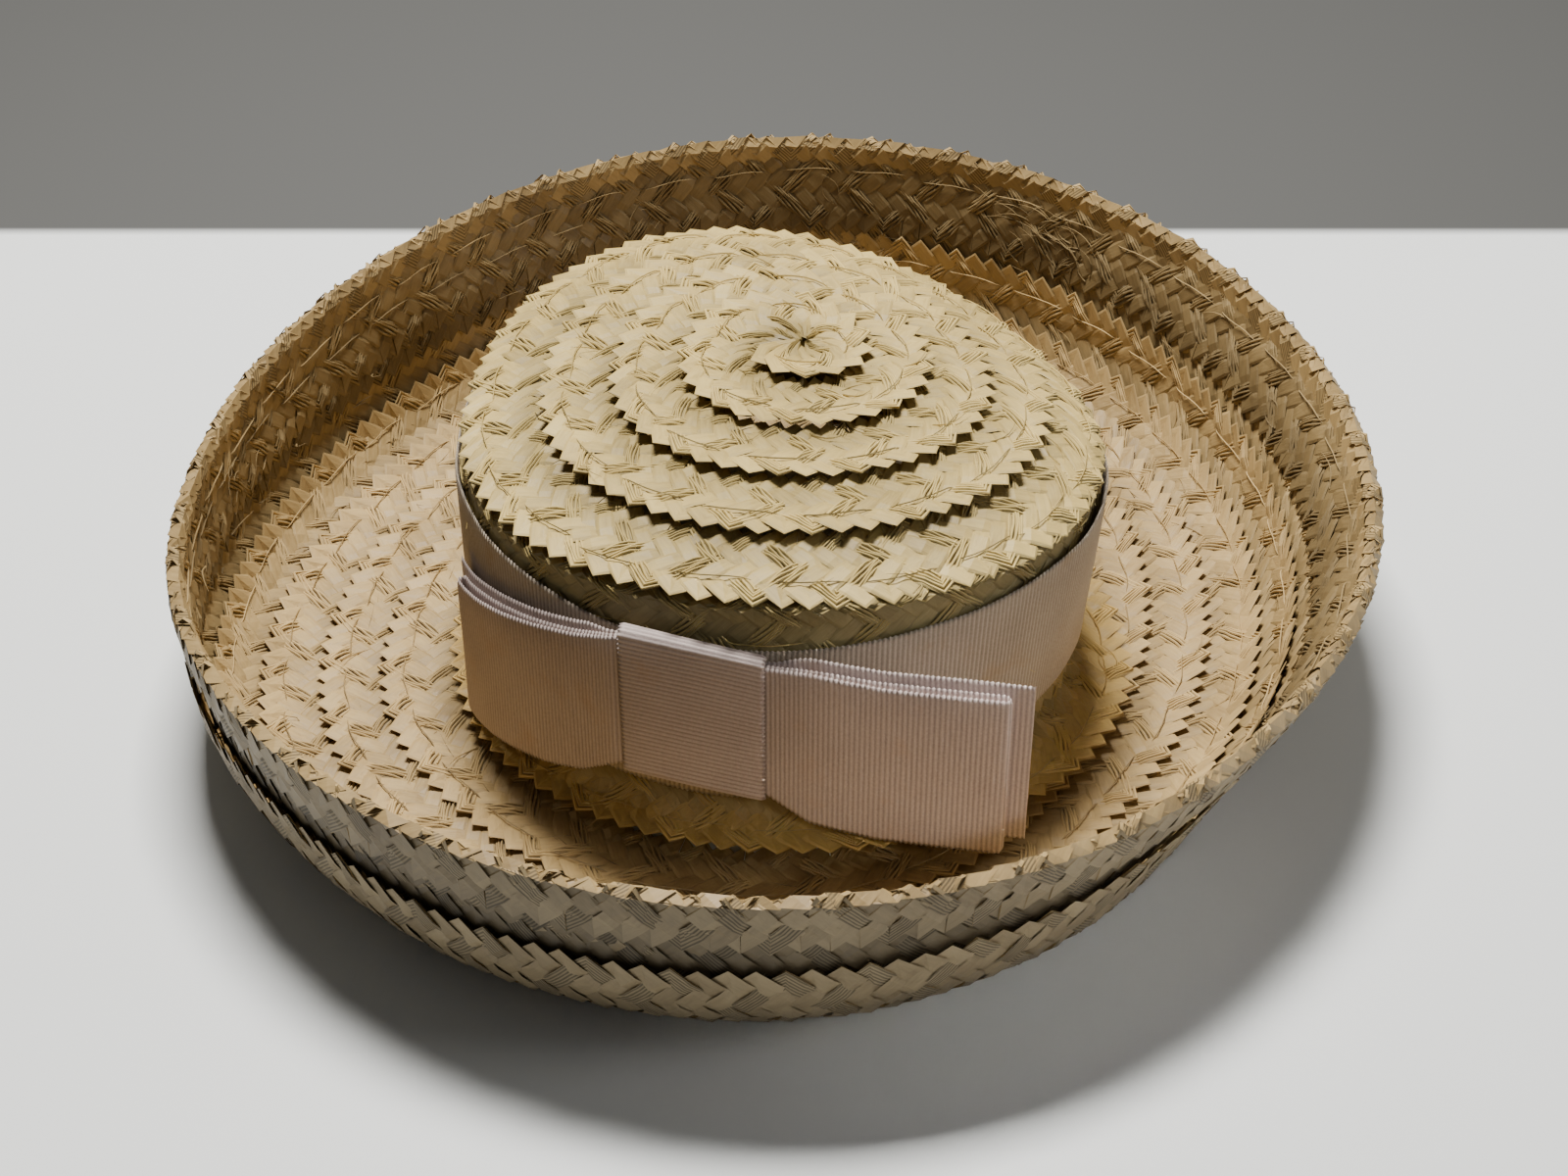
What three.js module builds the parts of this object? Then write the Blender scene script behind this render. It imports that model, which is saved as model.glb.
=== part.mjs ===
// A straw hat with a rolled brim, sewn from rows of plaited straw, trimmed with
// a ribbon band and a flat bow. Millimetres, +Z up, standing on the flat ring
// around the head opening, with the bow's side toward -Y.
import * as THREE from "three";

// Main sizes

const CROWN_REACH = 96;
const RIM_REACH = 172;
const RIM_HEIGHT = 60;
const TIP_HEIGHT = 83;
const EDGE_HEIGHT = 73.5;
const FOOT_HEIGHT = 4;
const CROWN_CENTRE_X = -0.8;
const CROWN_CENTRE_Y = 4.7;
const SPIRAL_SHIFT_X = 6;
const SPIRAL_SHIFT_Y = 17;

// Straw

const STRAW_WALL = 2.4;
const ROW_STEP = 1.2;
const BRIM_THICKNESS = 2.2;
const BRIM_STEP = 0.9;
const BRIM_BEND_RADIUS = 24.7;
const UPRIGHT_TURN = 90;
const LEDGE_REACH = 18;
const LEDGE_THICKNESS = 1.4;
const LEDGE_TOP = 6.2;
const RIM_FOLD_WIDTH = 11;
const RIM_BRAID_THICKNESS = 1.3;
const GAP = 0.3;

// Ribbon

const RIBBON_THICKNESS = 0.8;
const BAND_WIDTH = 48;
const BOW_RIBBON_WIDTH = 49;
const LEFT_STRIP_LIFT = 2;
const RIGHT_STRIP_LIFT = 2.5;
const LEFT_LOOP_OPENING = 1.2;
const RIGHT_LOOP_OPENING = 1.6;
const LOOP_START = 2;
const RIM_END_CLEARANCE = 2.4;
const KNOT_WIDTH = 36;
const KNOT_HEIGHT = 44;
const KNOT_CENTRE_HEIGHT = 44;
const KNOT_SLOPE = 0.19;
const KNOT_ANGLE = 257.5;
const BOW_TURN = -7;
const KNOT_EDGE = KNOT_WIDTH / 2 + 1;
const SETTLE_REACH = 14;
const RIGHT_LOOP_LENGTH = 76;
const RIGHT_STRIP_LENGTH = 83;
const LEFT_LOOP_LENGTH = 80;
const LEFT_STRIP_LENGTH = 86;

// Smoothness

const AROUND = 64;
const RIBBON_STEPS = 14;

// Outline by direction, in steps of 22.5 degrees counted from +X toward +Y.
// crown, foot and rim are shares of the reaches above, rise of the rim height,
// lip of the height of the crown's edge, and roll of an upright brim's turn.
const OUTLINE = [
  { crown: 0.880, foot: 0.818, rim: 0.942, rise: 0.933, lip: 0.970, roll: 0.72 },
  { crown: 0.845, foot: 0.805, rim: 0.965, rise: 0.958, lip: 0.935, roll: 0.76 },
  { crown: 0.865, foot: 0.840, rim: 1.005, rise: 1.017, lip: 0.930, roll: 0.80 },
  { crown: 0.925, foot: 0.900, rim: 1.035, rise: 1.075, lip: 0.950, roll: 0.83 },
  { crown: 1.000, foot: 0.974, rim: 1.040, rise: 1.100, lip: 0.985, roll: 0.84 },
  { crown: 1.040, foot: 1.014, rim: 1.000, rise: 1.075, lip: 1.000, roll: 0.86 },
  { crown: 0.990, foot: 0.969, rim: 0.955, rise: 1.017, lip: 1.000, roll: 0.89 },
  { crown: 0.917, foot: 0.906, rim: 0.930, rise: 0.958, lip: 1.000, roll: 0.94 },
  { crown: 0.896, foot: 0.891, rim: 0.930, rise: 0.933, lip: 1.000, roll: 1.00 },
  { crown: 0.938, foot: 0.932, rim: 0.968, rise: 0.925, lip: 1.000, roll: 0.98 },
  { crown: 0.984, foot: 0.984, rim: 0.991, rise: 0.917, lip: 1.000, roll: 0.96 },
  { crown: 1.005, foot: 1.000, rim: 1.009, rise: 0.905, lip: 1.000, roll: 1.00 },
  { crown: 1.005, foot: 0.990, rim: 1.017, rise: 0.900, lip: 1.000, roll: 0.98 },
  { crown: 1.016, foot: 0.974, rim: 0.997, rise: 0.905, lip: 1.000, roll: 0.87 },
  { crown: 1.010, foot: 0.948, rim: 0.960, rise: 0.917, lip: 1.000, roll: 0.74 },
  { crown: 0.955, foot: 0.895, rim: 0.942, rise: 0.925, lip: 0.995, roll: 0.71 },
];

// Top edge of the band by the same directions, as shares of the edge height.
const BAND_TOP = [
  0.91, 0.88, 0.87, 0.88, 0.90, 0.92, 0.92, 0.92,
  0.93, 0.94, 0.93, 0.87, 0.85, 0.89, 0.93, 0.93,
];

// Height of the crown's top by share of its reach, as shares of the tip height.
const TIP_PROFILE = [
  { share: 0.00, height: 1.000 },
  { share: 0.28, height: 0.998 },
  { share: 0.51, height: 0.990 },
  { share: 0.75, height: 0.968 },
  { share: 0.88, height: 0.940 },
  { share: 0.96, height: 0.912 },
  { share: 1.00, height: 0.886 },
];

// Run of the bow's ribbons by distance from the knot, as a share of that side's
// loop length. middle is a share of the knot's height over the ground, width a
// share of the bow ribbon's width.
const RIGHT_RUN = [
  { share: 0.00, middle: 1.000, width: 0.837 },
  { share: 0.24, middle: 0.918, width: 0.837 },
  { share: 0.38, middle: 0.832, width: 0.980 },
  { share: 0.60, middle: 0.773, width: 1.000 },
  { share: 1.15, middle: 0.741, width: 1.000 },
];
const LEFT_RUN = [
  { share: 0.00, middle: 1.000, width: 0.837 },
  { share: 0.23, middle: 1.077, width: 0.816 },
  { share: 0.38, middle: 0.932, width: 0.898 },
  { share: 0.55, middle: 0.841, width: 0.918 },
  { share: 0.95, middle: 0.682, width: 0.898 },
  { share: 1.15, middle: 0.648, width: 0.878 },
];

// Curves from the tables

function smoothRing(values, degrees) {
  const count = values.length;
  const place = (((degrees / 360) * count) % count + count) % count;
  const i = Math.floor(place);
  const t = place - i;
  const a = values[(i + count - 1) % count];
  const b = values[i];
  const c = values[(i + 1) % count];
  const d = values[(i + 2) % count];
  const curve = 2 * b + (c - a) * t + (2 * a - 5 * b + 4 * c - d) * t * t;
  return 0.5 * (curve + (3 * b - a - 3 * c + d) * t * t * t);
}

function along(table, key, share) {
  let i = 0;
  while (i < table.length - 2 && table[i + 1].share < share) i += 1;
  const low = table[i];
  const high = table[i + 1];
  const t = Math.min(1, Math.max(0, (share - low.share) / (high.share - low.share)));
  return low[key] + (high[key] - low[key]) * t;
}

const crownColumn = OUTLINE.map((row) => row.crown * CROWN_REACH);
const footColumn = OUTLINE.map((row) => row.foot * CROWN_REACH);
const rimColumn = OUTLINE.map((row) => row.rim * RIM_REACH);
const riseColumn = OUTLINE.map((row) => row.rise * RIM_HEIGHT);
const sinkColumn = OUTLINE.map((row) => (1 - row.lip) * EDGE_HEIGHT);
const rollColumn = OUTLINE.map((row) => row.roll * UPRIGHT_TURN);

function wallRadius(degrees, z) {
  const t = (z - FOOT_HEIGHT) / (EDGE_HEIGHT - FOOT_HEIGHT);
  const foot = smoothRing(footColumn, degrees);
  return foot + (smoothRing(crownColumn, degrees) - foot) * t;
}

function planPoint(degrees, radius, z, inward) {
  const turn = THREE.MathUtils.degToRad(degrees);
  return new THREE.Vector3(
    CROWN_CENTRE_X + inward * SPIRAL_SHIFT_X + radius * Math.cos(turn),
    CROWN_CENTRE_Y + inward * SPIRAL_SHIFT_Y + radius * Math.sin(turn),
    z,
  );
}

// Brim profile in one direction: flat around the crown, one bend, then a straight
// side up to the rim. run is the share of the arc, lift the distance off the
// middle line.
const brimRolls = new Map();

function brimRoll(degrees) {
  if (brimRolls.has(degrees)) return brimRolls.get(degrees);
  const foot = smoothRing(footColumn, degrees);
  const across = smoothRing(rimColumn, degrees) - foot;
  const rise = smoothRing(riseColumn, degrees) - BRIM_THICKNESS / 2;
  const turn = THREE.MathUtils.degToRad(smoothRing(rollColumn, degrees));
  const side = (rise - BRIM_BEND_RADIUS * (1 - Math.cos(turn))) / Math.sin(turn);
  const flat = across - BRIM_BEND_RADIUS * Math.sin(turn) - side * Math.cos(turn);
  const bend = BRIM_BEND_RADIUS * turn;
  const roll = { foot, turn, flat, bend, length: flat + bend + side };
  brimRolls.set(degrees, roll);
  return roll;
}

function brimPoint(degrees, run, lift) {
  const roll = brimRoll(degrees);
  const arc = run * roll.length;
  const turn = THREE.MathUtils.clamp((arc - roll.flat) / BRIM_BEND_RADIUS, 0, roll.turn);
  const side = Math.max(0, arc - roll.flat - roll.bend);
  const bent = BRIM_BEND_RADIUS * Math.sin(turn);
  const out = Math.min(arc, roll.flat) + bent + side * Math.cos(turn);
  const up = BRIM_BEND_RADIUS * (1 - Math.cos(turn)) + side * Math.sin(turn);
  const r = roll.foot + out - lift * Math.sin(turn);
  return planPoint(degrees, r, BRIM_THICKNESS / 2 + up + lift * Math.cos(turn), 0);
}

// Bodies

function signedVolume(positions, faces) {
  let sum = 0;
  const a = new THREE.Vector3();
  const b = new THREE.Vector3();
  const c = new THREE.Vector3();
  for (let k = 0; k < faces.length; k += 3) {
    a.fromArray(positions, faces[k] * 3);
    b.fromArray(positions, faces[k + 1] * 3);
    c.fromArray(positions, faces[k + 2] * 3);
    sum += a.dot(b.cross(c)) / 6;
  }
  return sum;
}

function bodyFrom(points, faces) {
  const positions = points.flatMap((p) => [p.x, p.y, p.z]);
  if (signedVolume(positions, faces) < 0) faces.reverse();
  const geometry = new THREE.BufferGeometry();
  geometry.setAttribute("position", new THREE.Float32BufferAttribute(positions, 3));
  geometry.setIndex(faces);
  geometry.computeVertexNormals();
  return geometry;
}

// A section swept around the hat. section lists functions of the direction;
// a closed section makes a ring, an open one runs from pole to pole.
function sweptAround(section, closed) {
  const points = [];
  const faces = [];
  const last = section.length - 1;
  const ringStart = [];
  section.forEach((place, row) => {
    ringStart.push(points.length);
    const isPole = !closed && (row === 0 || row === last);
    const count = isPole ? 1 : AROUND;
    for (let k = 0; k < count; k += 1) points.push(place((360 * k) / AROUND));
  });
  const rows = closed ? section.length : last;
  for (let row = 0; row < rows; row += 1) {
    const next = (row + 1) % section.length;
    const startPole = !closed && row === 0;
    const endPole = !closed && next === last;
    for (let k = 0; k < AROUND; k += 1) {
      const n = (k + 1) % AROUND;
      const a = ringStart[row] + (startPole ? 0 : k);
      const b = ringStart[row] + (startPole ? 0 : n);
      const c = ringStart[next] + (endPole ? 0 : n);
      const d = ringStart[next] + (endPole ? 0 : k);
      if (startPole) faces.push(a, c, d);
      else if (endPole) faces.push(a, b, c);
      else faces.push(a, b, c, a, c, d);
    }
  }
  return bodyFrom(points, faces);
}

// A ribbon standing on edge. Each station holds its place in plan, the plan
// direction of its thickness, and the heights of its lower and upper edges.
function ribbonBody(stations, thickness) {
  const points = [];
  const faces = [];
  for (const s of stations) {
    for (const [side, z] of [[1, s.high], [1, s.low], [-1, s.low], [-1, s.high]]) {
      const off = (side * thickness) / 2;
      points.push(new THREE.Vector3(s.x + s.nx * off, s.y + s.ny * off, z));
    }
  }
  for (let k = 0; k < stations.length - 1; k += 1) {
    for (let q = 0; q < 4; q += 1) {
      const a = k * 4 + q;
      const b = k * 4 + ((q + 1) % 4);
      faces.push(a, b, b + 4, a, b + 4, a + 4);
    }
  }
  const e = (stations.length - 1) * 4;
  faces.push(0, 2, 1, 0, 3, 2);
  faces.push(e, e + 1, e + 2, e, e + 2, e + 3);
  return bodyFrom(points, faces);
}

const hat = new THREE.Group();

function addPiece(name, geometry, colour, roughness) {
  const material = new THREE.MeshStandardMaterial({ color: colour, roughness, metalness: 0 });
  const mesh = new THREE.Mesh(geometry, material);
  mesh.name = name;
  hat.add(mesh);
}

// Crown: stepped rows on the tip, a stepped wall, and a last row that flares
// out as a ledge over the brim, all in one hollow cap.

function tipPlace(share, drop) {
  return (degrees) => {
    const radius = smoothRing(crownColumn, degrees) * share;
    const sink = smoothRing(sinkColumn, degrees) * share * share;
    const z = along(TIP_PROFILE, "height", share) * TIP_HEIGHT - sink - drop;
    return planPoint(degrees, radius, z, 1 - share);
  };
}

function wallPlace(z, off) {
  return (degrees) => planPoint(degrees, wallRadius(degrees, z) + off, z, 0);
}

function edgePlace(below, off) {
  return (degrees) => {
    const z = EDGE_HEIGHT - smoothRing(sinkColumn, degrees) - below;
    return planPoint(degrees, wallRadius(degrees, EDGE_HEIGHT) + off, z, 0);
  };
}

const tipRowEdges = [0.21, 0.41, 0.605, 0.8, 1.0];
const crownSection = [tipPlace(0, 0), tipPlace(0.1, 0)];
tipRowEdges.forEach((edge, k) => {
  crownSection.push(tipPlace(edge, 0));
  if (k === tipRowEdges.length - 1) return;
  const next = tipRowEdges[k + 1];
  crownSection.push(tipPlace(edge, ROW_STEP));
  crownSection.push(tipPlace((edge + next) / 2, ROW_STEP / 2));
  if (k === tipRowEdges.length - 2) crownSection.push(tipPlace(0.96, ROW_STEP / 6));
});
crownSection.push(edgePlace(ROW_STEP, 0));
crownSection.push(edgePlace(ROW_STEP, -ROW_STEP));
const wallRowEdges = [0.71, 0.42, 0.19];
for (const share of wallRowEdges) {
  const z = share * EDGE_HEIGHT;
  crownSection.push(wallPlace(z, 0));
  crownSection.push(wallPlace(z - ROW_STEP * 0.7, -ROW_STEP * 0.7));
}
const ledgeBottom = LEDGE_TOP - LEDGE_THICKNESS;
const crownFoot = BRIM_THICKNESS + GAP;
crownSection.push(wallPlace(LEDGE_TOP + LEDGE_THICKNESS * 1.6, ROW_STEP));
crownSection.push(wallPlace(LEDGE_TOP, LEDGE_REACH / 3));
crownSection.push(wallPlace(LEDGE_TOP, LEDGE_REACH));
crownSection.push(wallPlace(ledgeBottom, LEDGE_REACH));
crownSection.push(wallPlace(ledgeBottom, LEDGE_REACH / 3));
crownSection.push(wallPlace(ledgeBottom - ROW_STEP * 0.7, ROW_STEP / 3));
crownSection.push(wallPlace(crownFoot, 0));
crownSection.push(wallPlace(crownFoot, -STRAW_WALL));
crownSection.push(wallPlace(EDGE_HEIGHT * 0.42, -STRAW_WALL - ROW_STEP * 0.5));
crownSection.push(edgePlace(EDGE_HEIGHT * 0.08, -STRAW_WALL - ROW_STEP));
for (const share of [0.9, 0.75, 0.5]) {
  const shrink = (share * (CROWN_REACH - STRAW_WALL)) / CROWN_REACH;
  crownSection.push(tipPlace(shrink, STRAW_WALL + ROW_STEP));
}
crownSection.push(tipPlace(0, STRAW_WALL));
addPiece("crown", sweptAround(crownSection, false), 0xb9ad8c, 0.75);

// Brim: a flat resting ring, a bend and an almost upright side, with stepped
// rows above and below.

const halfBrim = BRIM_THICKNESS / 2;

function brimPlace(run, lift) {
  return (a) => brimPoint(a, run, lift);
}

function rimPlace(back, lift) {
  return (a) => brimPoint(a, 1 - back / brimRoll(a).length, lift);
}

const upperRows = [
  { edge: 0.225, after: 0.31 },
  { edge: 0.42, after: 0.52 },
  { edge: 0.62, after: 0.71 },
  { edge: 0.80 },
];
const lowerRows = [
  { edge: 0.76, before: 0.68 },
  { edge: 0.57, before: 0.50 },
];
const brimSection = [(a) => planPoint(a, wallRadius(a, 2) - STRAW_WALL, 0, 0)];
brimSection.push((a) => planPoint(a, wallRadius(a, 2) - STRAW_WALL, BRIM_THICKNESS, 0));
brimSection.push(brimPlace(0.12, halfBrim));
for (const row of upperRows) {
  brimSection.push(brimPlace(row.edge - 0.004, halfBrim + BRIM_STEP * 0.5));
  brimSection.push(brimPlace(row.edge + 0.004, halfBrim - BRIM_STEP * 0.5));
  if (row.after) brimSection.push(brimPlace(row.after, halfBrim));
}
for (const back of [RIM_FOLD_WIDTH, RIM_FOLD_WIDTH * 0.5, RIM_END_CLEARANCE]) {
  brimSection.push(rimPlace(back, halfBrim - 0.2));
}
for (const back of [RIM_END_CLEARANCE, RIM_FOLD_WIDTH * 0.5, RIM_FOLD_WIDTH]) {
  brimSection.push(rimPlace(back, -halfBrim + 0.2));
}
for (const row of lowerRows) {
  brimSection.push(brimPlace(row.edge + 0.004, -halfBrim - BRIM_STEP * 0.5));
  brimSection.push(brimPlace(row.edge - 0.004, -halfBrim + BRIM_STEP * 0.5));
  brimSection.push(brimPlace(row.before, -halfBrim));
}
brimSection.push(brimPlace(0.43, -halfBrim));
brimSection.push(brimPlace(0.30, -halfBrim));
addPiece("brim", sweptAround(brimSection, true), 0xb6a07a, 0.75);

// Rim braid: the last row, folded in half over the brim's edge.

const rimInner = halfBrim + GAP;
const rimOuter = rimInner + RIM_BRAID_THICKNESS;
const rimSection = [
  rimPlace(RIM_FOLD_WIDTH, rimInner),
  rimPlace(RIM_FOLD_WIDTH, rimOuter),
  rimPlace(RIM_FOLD_WIDTH * 0.5, rimOuter + 0.2),
  rimPlace(0.9, rimOuter - 0.3),
  rimPlace(0, rimInner - 0.4),
  rimPlace(0, -rimInner + 0.4),
  rimPlace(0.9, -rimOuter + 0.3),
  rimPlace(RIM_FOLD_WIDTH * 0.5, -rimOuter - 0.2),
  rimPlace(RIM_FOLD_WIDTH, -rimOuter),
  rimPlace(RIM_FOLD_WIDTH, -rimInner),
  rimPlace(RIM_FOLD_WIDTH * 0.5, -rimInner),
  rimPlace(1.8, -rimInner + 0.3),
  rimPlace(1.8, rimInner - 0.3),
  rimPlace(RIM_FOLD_WIDTH * 0.5, rimInner),
];
addPiece("rim_braid", sweptAround(rimSection, true), 0xbda983, 0.7);

// Hat band: a ribbon around the crown wall.

const bandTopColumn = BAND_TOP.map((share) => share * EDGE_HEIGHT);

function bandPlace(fall, off) {
  return (a) => {
    const z = smoothRing(bandTopColumn, a) - fall * BAND_WIDTH;
    return planPoint(a, wallRadius(a, z) + off, z, 0);
  };
}

const bandInner = GAP;
const bandOuter = GAP + RIBBON_THICKNESS;
const bandSection = [
  bandPlace(0, bandInner),
  bandPlace(0, bandOuter),
  bandPlace(0.5, bandOuter),
  bandPlace(1, bandOuter),
  bandPlace(1, bandInner),
  bandPlace(0.5, bandInner),
];
addPiece("hat_band", sweptAround(bandSection, true), 0xb9a58c, 0.8);

// Bow line in plan: to the left it follows the crown, to the right it runs
// straight off the crown. reach is the distance from the knot's middle.

function outlinePoint(degrees, off) {
  const p = planPoint(degrees, smoothRing(crownColumn, degrees), 0, 0);
  const before = planPoint(degrees - 0.5, smoothRing(crownColumn, degrees - 0.5), 0, 0);
  const after = planPoint(degrees + 0.5, smoothRing(crownColumn, degrees + 0.5), 0, 0);
  const way = after.sub(before).normalize();
  return { x: p.x + way.y * off, y: p.y - way.x * off, nx: way.y, ny: -way.x };
}

function straightPoint(along, off) {
  const turn = THREE.MathUtils.degToRad(BOW_TURN);
  const start = outlinePoint(KNOT_ANGLE, 0);
  const nx = Math.sin(turn);
  const ny = -Math.cos(turn);
  return {
    x: start.x + along * Math.cos(turn) + nx * off,
    y: start.y + along * Math.sin(turn) + ny * off,
    nx,
    ny,
  };
}

function wrappedPoint(reach, off) {
  let degrees = KNOT_ANGLE;
  let walked = 0;
  let here = outlinePoint(degrees, off);
  while (walked < reach) {
    const next = outlinePoint(degrees - 0.25, off);
    walked += Math.hypot(next.x - here.x, next.y - here.y);
    degrees -= 0.25;
    here = next;
  }
  return here;
}

function bowPoint(side, reach, off) {
  if (side > 0 || reach <= KNOT_EDGE) return straightPoint(side * reach, off);
  const wall = wrappedPoint(KNOT_EDGE, 0);
  const line = straightPoint(-KNOT_EDGE, 0);
  const stand = (line.x - wall.x) * wall.nx + (line.y - wall.y) * wall.ny;
  const fade = Math.exp(-(reach - KNOT_EDGE) / SETTLE_REACH);
  return wrappedPoint(reach, off + stand * fade);
}

function station(side, reach, off, rise) {
  const table = side < 0 ? LEFT_RUN : RIGHT_RUN;
  const share = reach / (side < 0 ? LEFT_LOOP_LENGTH : RIGHT_LOOP_LENGTH);
  const middle = along(table, "middle", share) * KNOT_CENTRE_HEIGHT;
  const half = (along(table, "width", share) * BOW_RIBBON_WIDTH) / 2;
  const p = bowPoint(side, reach, off);
  return { ...p, low: middle - half + rise, high: middle + half + rise };
}

// Layers outward from the crown wall

const knotBackOff = bandOuter + GAP + 0.1;
const stripOff = knotBackOff + RIBBON_THICKNESS + GAP + RIBBON_THICKNESS / 2;
const loopBackOff = stripOff + RIBBON_THICKNESS + GAP;
const loopFrontOff = loopBackOff + RIBBON_THICKNESS + GAP;
const knotFrontOff = loopFrontOff + RIBBON_THICKNESS / 2 + GAP;

function opened(side, reach, most) {
  const length = side < 0 ? LEFT_LOOP_LENGTH : RIGHT_LOOP_LENGTH;
  const t = Math.max(0, reach - KNOT_WIDTH / 2) / (length - KNOT_WIDTH / 2);
  return most * Math.sin(Math.min(1, t * 1.3) * Math.PI * 0.5);
}

// Back strip, one ribbon behind both loops

const stripStations = [];
for (let k = RIBBON_STEPS; k > 0; k -= 1) {
  const reach = (LEFT_STRIP_LENGTH * k) / RIBBON_STEPS;
  stripStations.push(station(-1, reach, stripOff, reach > KNOT_EDGE ? LEFT_STRIP_LIFT : 0));
}
for (let k = 0; k <= RIBBON_STEPS; k += 1) {
  const reach = (RIGHT_STRIP_LENGTH * k) / RIBBON_STEPS;
  stripStations.push(station(1, reach, stripOff, reach > KNOT_EDGE ? RIGHT_STRIP_LIFT : 0));
}
addPiece("bow_back_strip", ribbonBody(stripStations, RIBBON_THICKNESS), 0xc9a994, 0.8);

// Loops: out along the front, round the fold, back along the back

function loopBody(side, length, openMost) {
  const stations = [];
  const start = LOOP_START;
  for (let k = 0; k <= RIBBON_STEPS; k += 1) {
    const reach = start + ((length - start) * k) / RIBBON_STEPS;
    stations.push(station(side, reach, loopFrontOff + opened(side, reach, openMost), 0));
  }
  const gapHalf = (loopFrontOff - loopBackOff + openMost) / 2;
  const middleOff = loopBackOff + gapHalf;
  for (let k = 1; k < 6; k += 1) {
    const turn = (Math.PI * k) / 6;
    const s = station(side, length + gapHalf * Math.sin(turn), middleOff, 0);
    const lift = gapHalf * Math.cos(turn);
    const tx = side < 0 ? s.ny : -s.ny;
    const ty = side < 0 ? -s.nx : s.nx;
    stations.push({
      x: s.x + s.nx * lift,
      y: s.y + s.ny * lift,
      nx: s.nx * Math.cos(turn) + tx * Math.sin(turn),
      ny: s.ny * Math.cos(turn) + ty * Math.sin(turn),
      low: s.low,
      high: s.high,
    });
  }
  for (let k = RIBBON_STEPS; k >= 0; k -= 1) {
    const reach = start + ((length - start) * k) / RIBBON_STEPS;
    const s = station(side, reach, loopBackOff, 0);
    stations.push({ ...s, nx: -s.nx, ny: -s.ny });
  }
  return ribbonBody(stations, RIBBON_THICKNESS);
}

addPiece("bow_right_loop", loopBody(1, RIGHT_LOOP_LENGTH, RIGHT_LOOP_OPENING), 0xc9a994, 0.8);
addPiece("bow_left_loop", loopBody(-1, LEFT_LOOP_LENGTH, LEFT_LOOP_OPENING), 0xc6a692, 0.8);

// Knot: a ribbon wrapped over the bow's middle, a flattened ring in section

const knotDepth = knotFrontOff - knotBackOff + RIBBON_THICKNESS;
const knotShape = new THREE.Shape();
const knotHole = new THREE.Path();
const halfKnot = KNOT_HEIGHT / 2;

function roundedBox(path, halfHeight, from, to, corner) {
  path.moveTo(from + corner, -halfHeight);
  path.lineTo(to - corner, -halfHeight);
  path.quadraticCurveTo(to, -halfHeight, to, -halfHeight + corner);
  path.lineTo(to, halfHeight - corner);
  path.quadraticCurveTo(to, halfHeight, to - corner, halfHeight);
  path.lineTo(from + corner, halfHeight);
  path.quadraticCurveTo(from, halfHeight, from, halfHeight - corner);
  path.lineTo(from, -halfHeight + corner);
  path.quadraticCurveTo(from, -halfHeight, from + corner, -halfHeight);
}

roundedBox(knotShape, halfKnot, 0, knotDepth, 1.6);
const inner = halfKnot - RIBBON_THICKNESS;
roundedBox(knotHole, inner, RIBBON_THICKNESS, knotDepth - RIBBON_THICKNESS, 0.9);
knotShape.holes.push(knotHole);
const knotGeometry = new THREE.ExtrudeGeometry(knotShape, {
  depth: KNOT_WIDTH,
  bevelEnabled: false,
  curveSegments: 4,
});
const knotTurn = THREE.MathUtils.degToRad(BOW_TURN);
const knotStart = outlinePoint(KNOT_ANGLE, 0);
const knotAxes = new THREE.Matrix4().makeBasis(
  new THREE.Vector3(Math.sin(knotTurn), -Math.cos(knotTurn), 0),
  new THREE.Vector3(0, 0, 1),
  new THREE.Vector3(-Math.cos(knotTurn), -Math.sin(knotTurn), 0),
);
knotGeometry.translate(knotBackOff, 0, -KNOT_WIDTH / 2);
knotGeometry.applyMatrix4(new THREE.Matrix4().makeShear(0, 0, 0, 0, 0, KNOT_SLOPE));
knotGeometry.applyMatrix4(knotAxes);
knotGeometry.translate(knotStart.x, knotStart.y, KNOT_CENTRE_HEIGHT);
addPiece("bow_knot", knotGeometry, 0xc8a68f, 0.8);

// The origin is the middle of the hat's footprint, on the ground

const box = new THREE.Box3().setFromObject(hat);
const shiftX = -(box.min.x + box.max.x) / 2;
const shiftY = -(box.min.y + box.max.y) / 2;
for (const mesh of hat.children) mesh.geometry.translate(shiftX, shiftY, 0);

export default hat;
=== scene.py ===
import math

import bpy
import numpy as np
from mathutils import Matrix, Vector


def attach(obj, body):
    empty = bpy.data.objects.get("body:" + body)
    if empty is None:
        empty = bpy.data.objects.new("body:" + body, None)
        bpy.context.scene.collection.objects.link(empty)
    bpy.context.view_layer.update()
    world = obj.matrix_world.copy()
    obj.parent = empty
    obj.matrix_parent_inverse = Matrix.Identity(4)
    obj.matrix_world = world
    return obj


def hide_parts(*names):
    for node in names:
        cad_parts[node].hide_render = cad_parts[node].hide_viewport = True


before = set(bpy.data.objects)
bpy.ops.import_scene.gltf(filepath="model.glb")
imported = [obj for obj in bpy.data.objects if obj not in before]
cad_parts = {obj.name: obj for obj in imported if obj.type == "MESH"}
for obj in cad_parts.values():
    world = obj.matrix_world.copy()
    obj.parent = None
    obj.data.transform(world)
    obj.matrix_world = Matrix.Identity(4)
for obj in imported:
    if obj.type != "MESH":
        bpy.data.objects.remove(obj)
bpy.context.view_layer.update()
MM = 0.001


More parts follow.
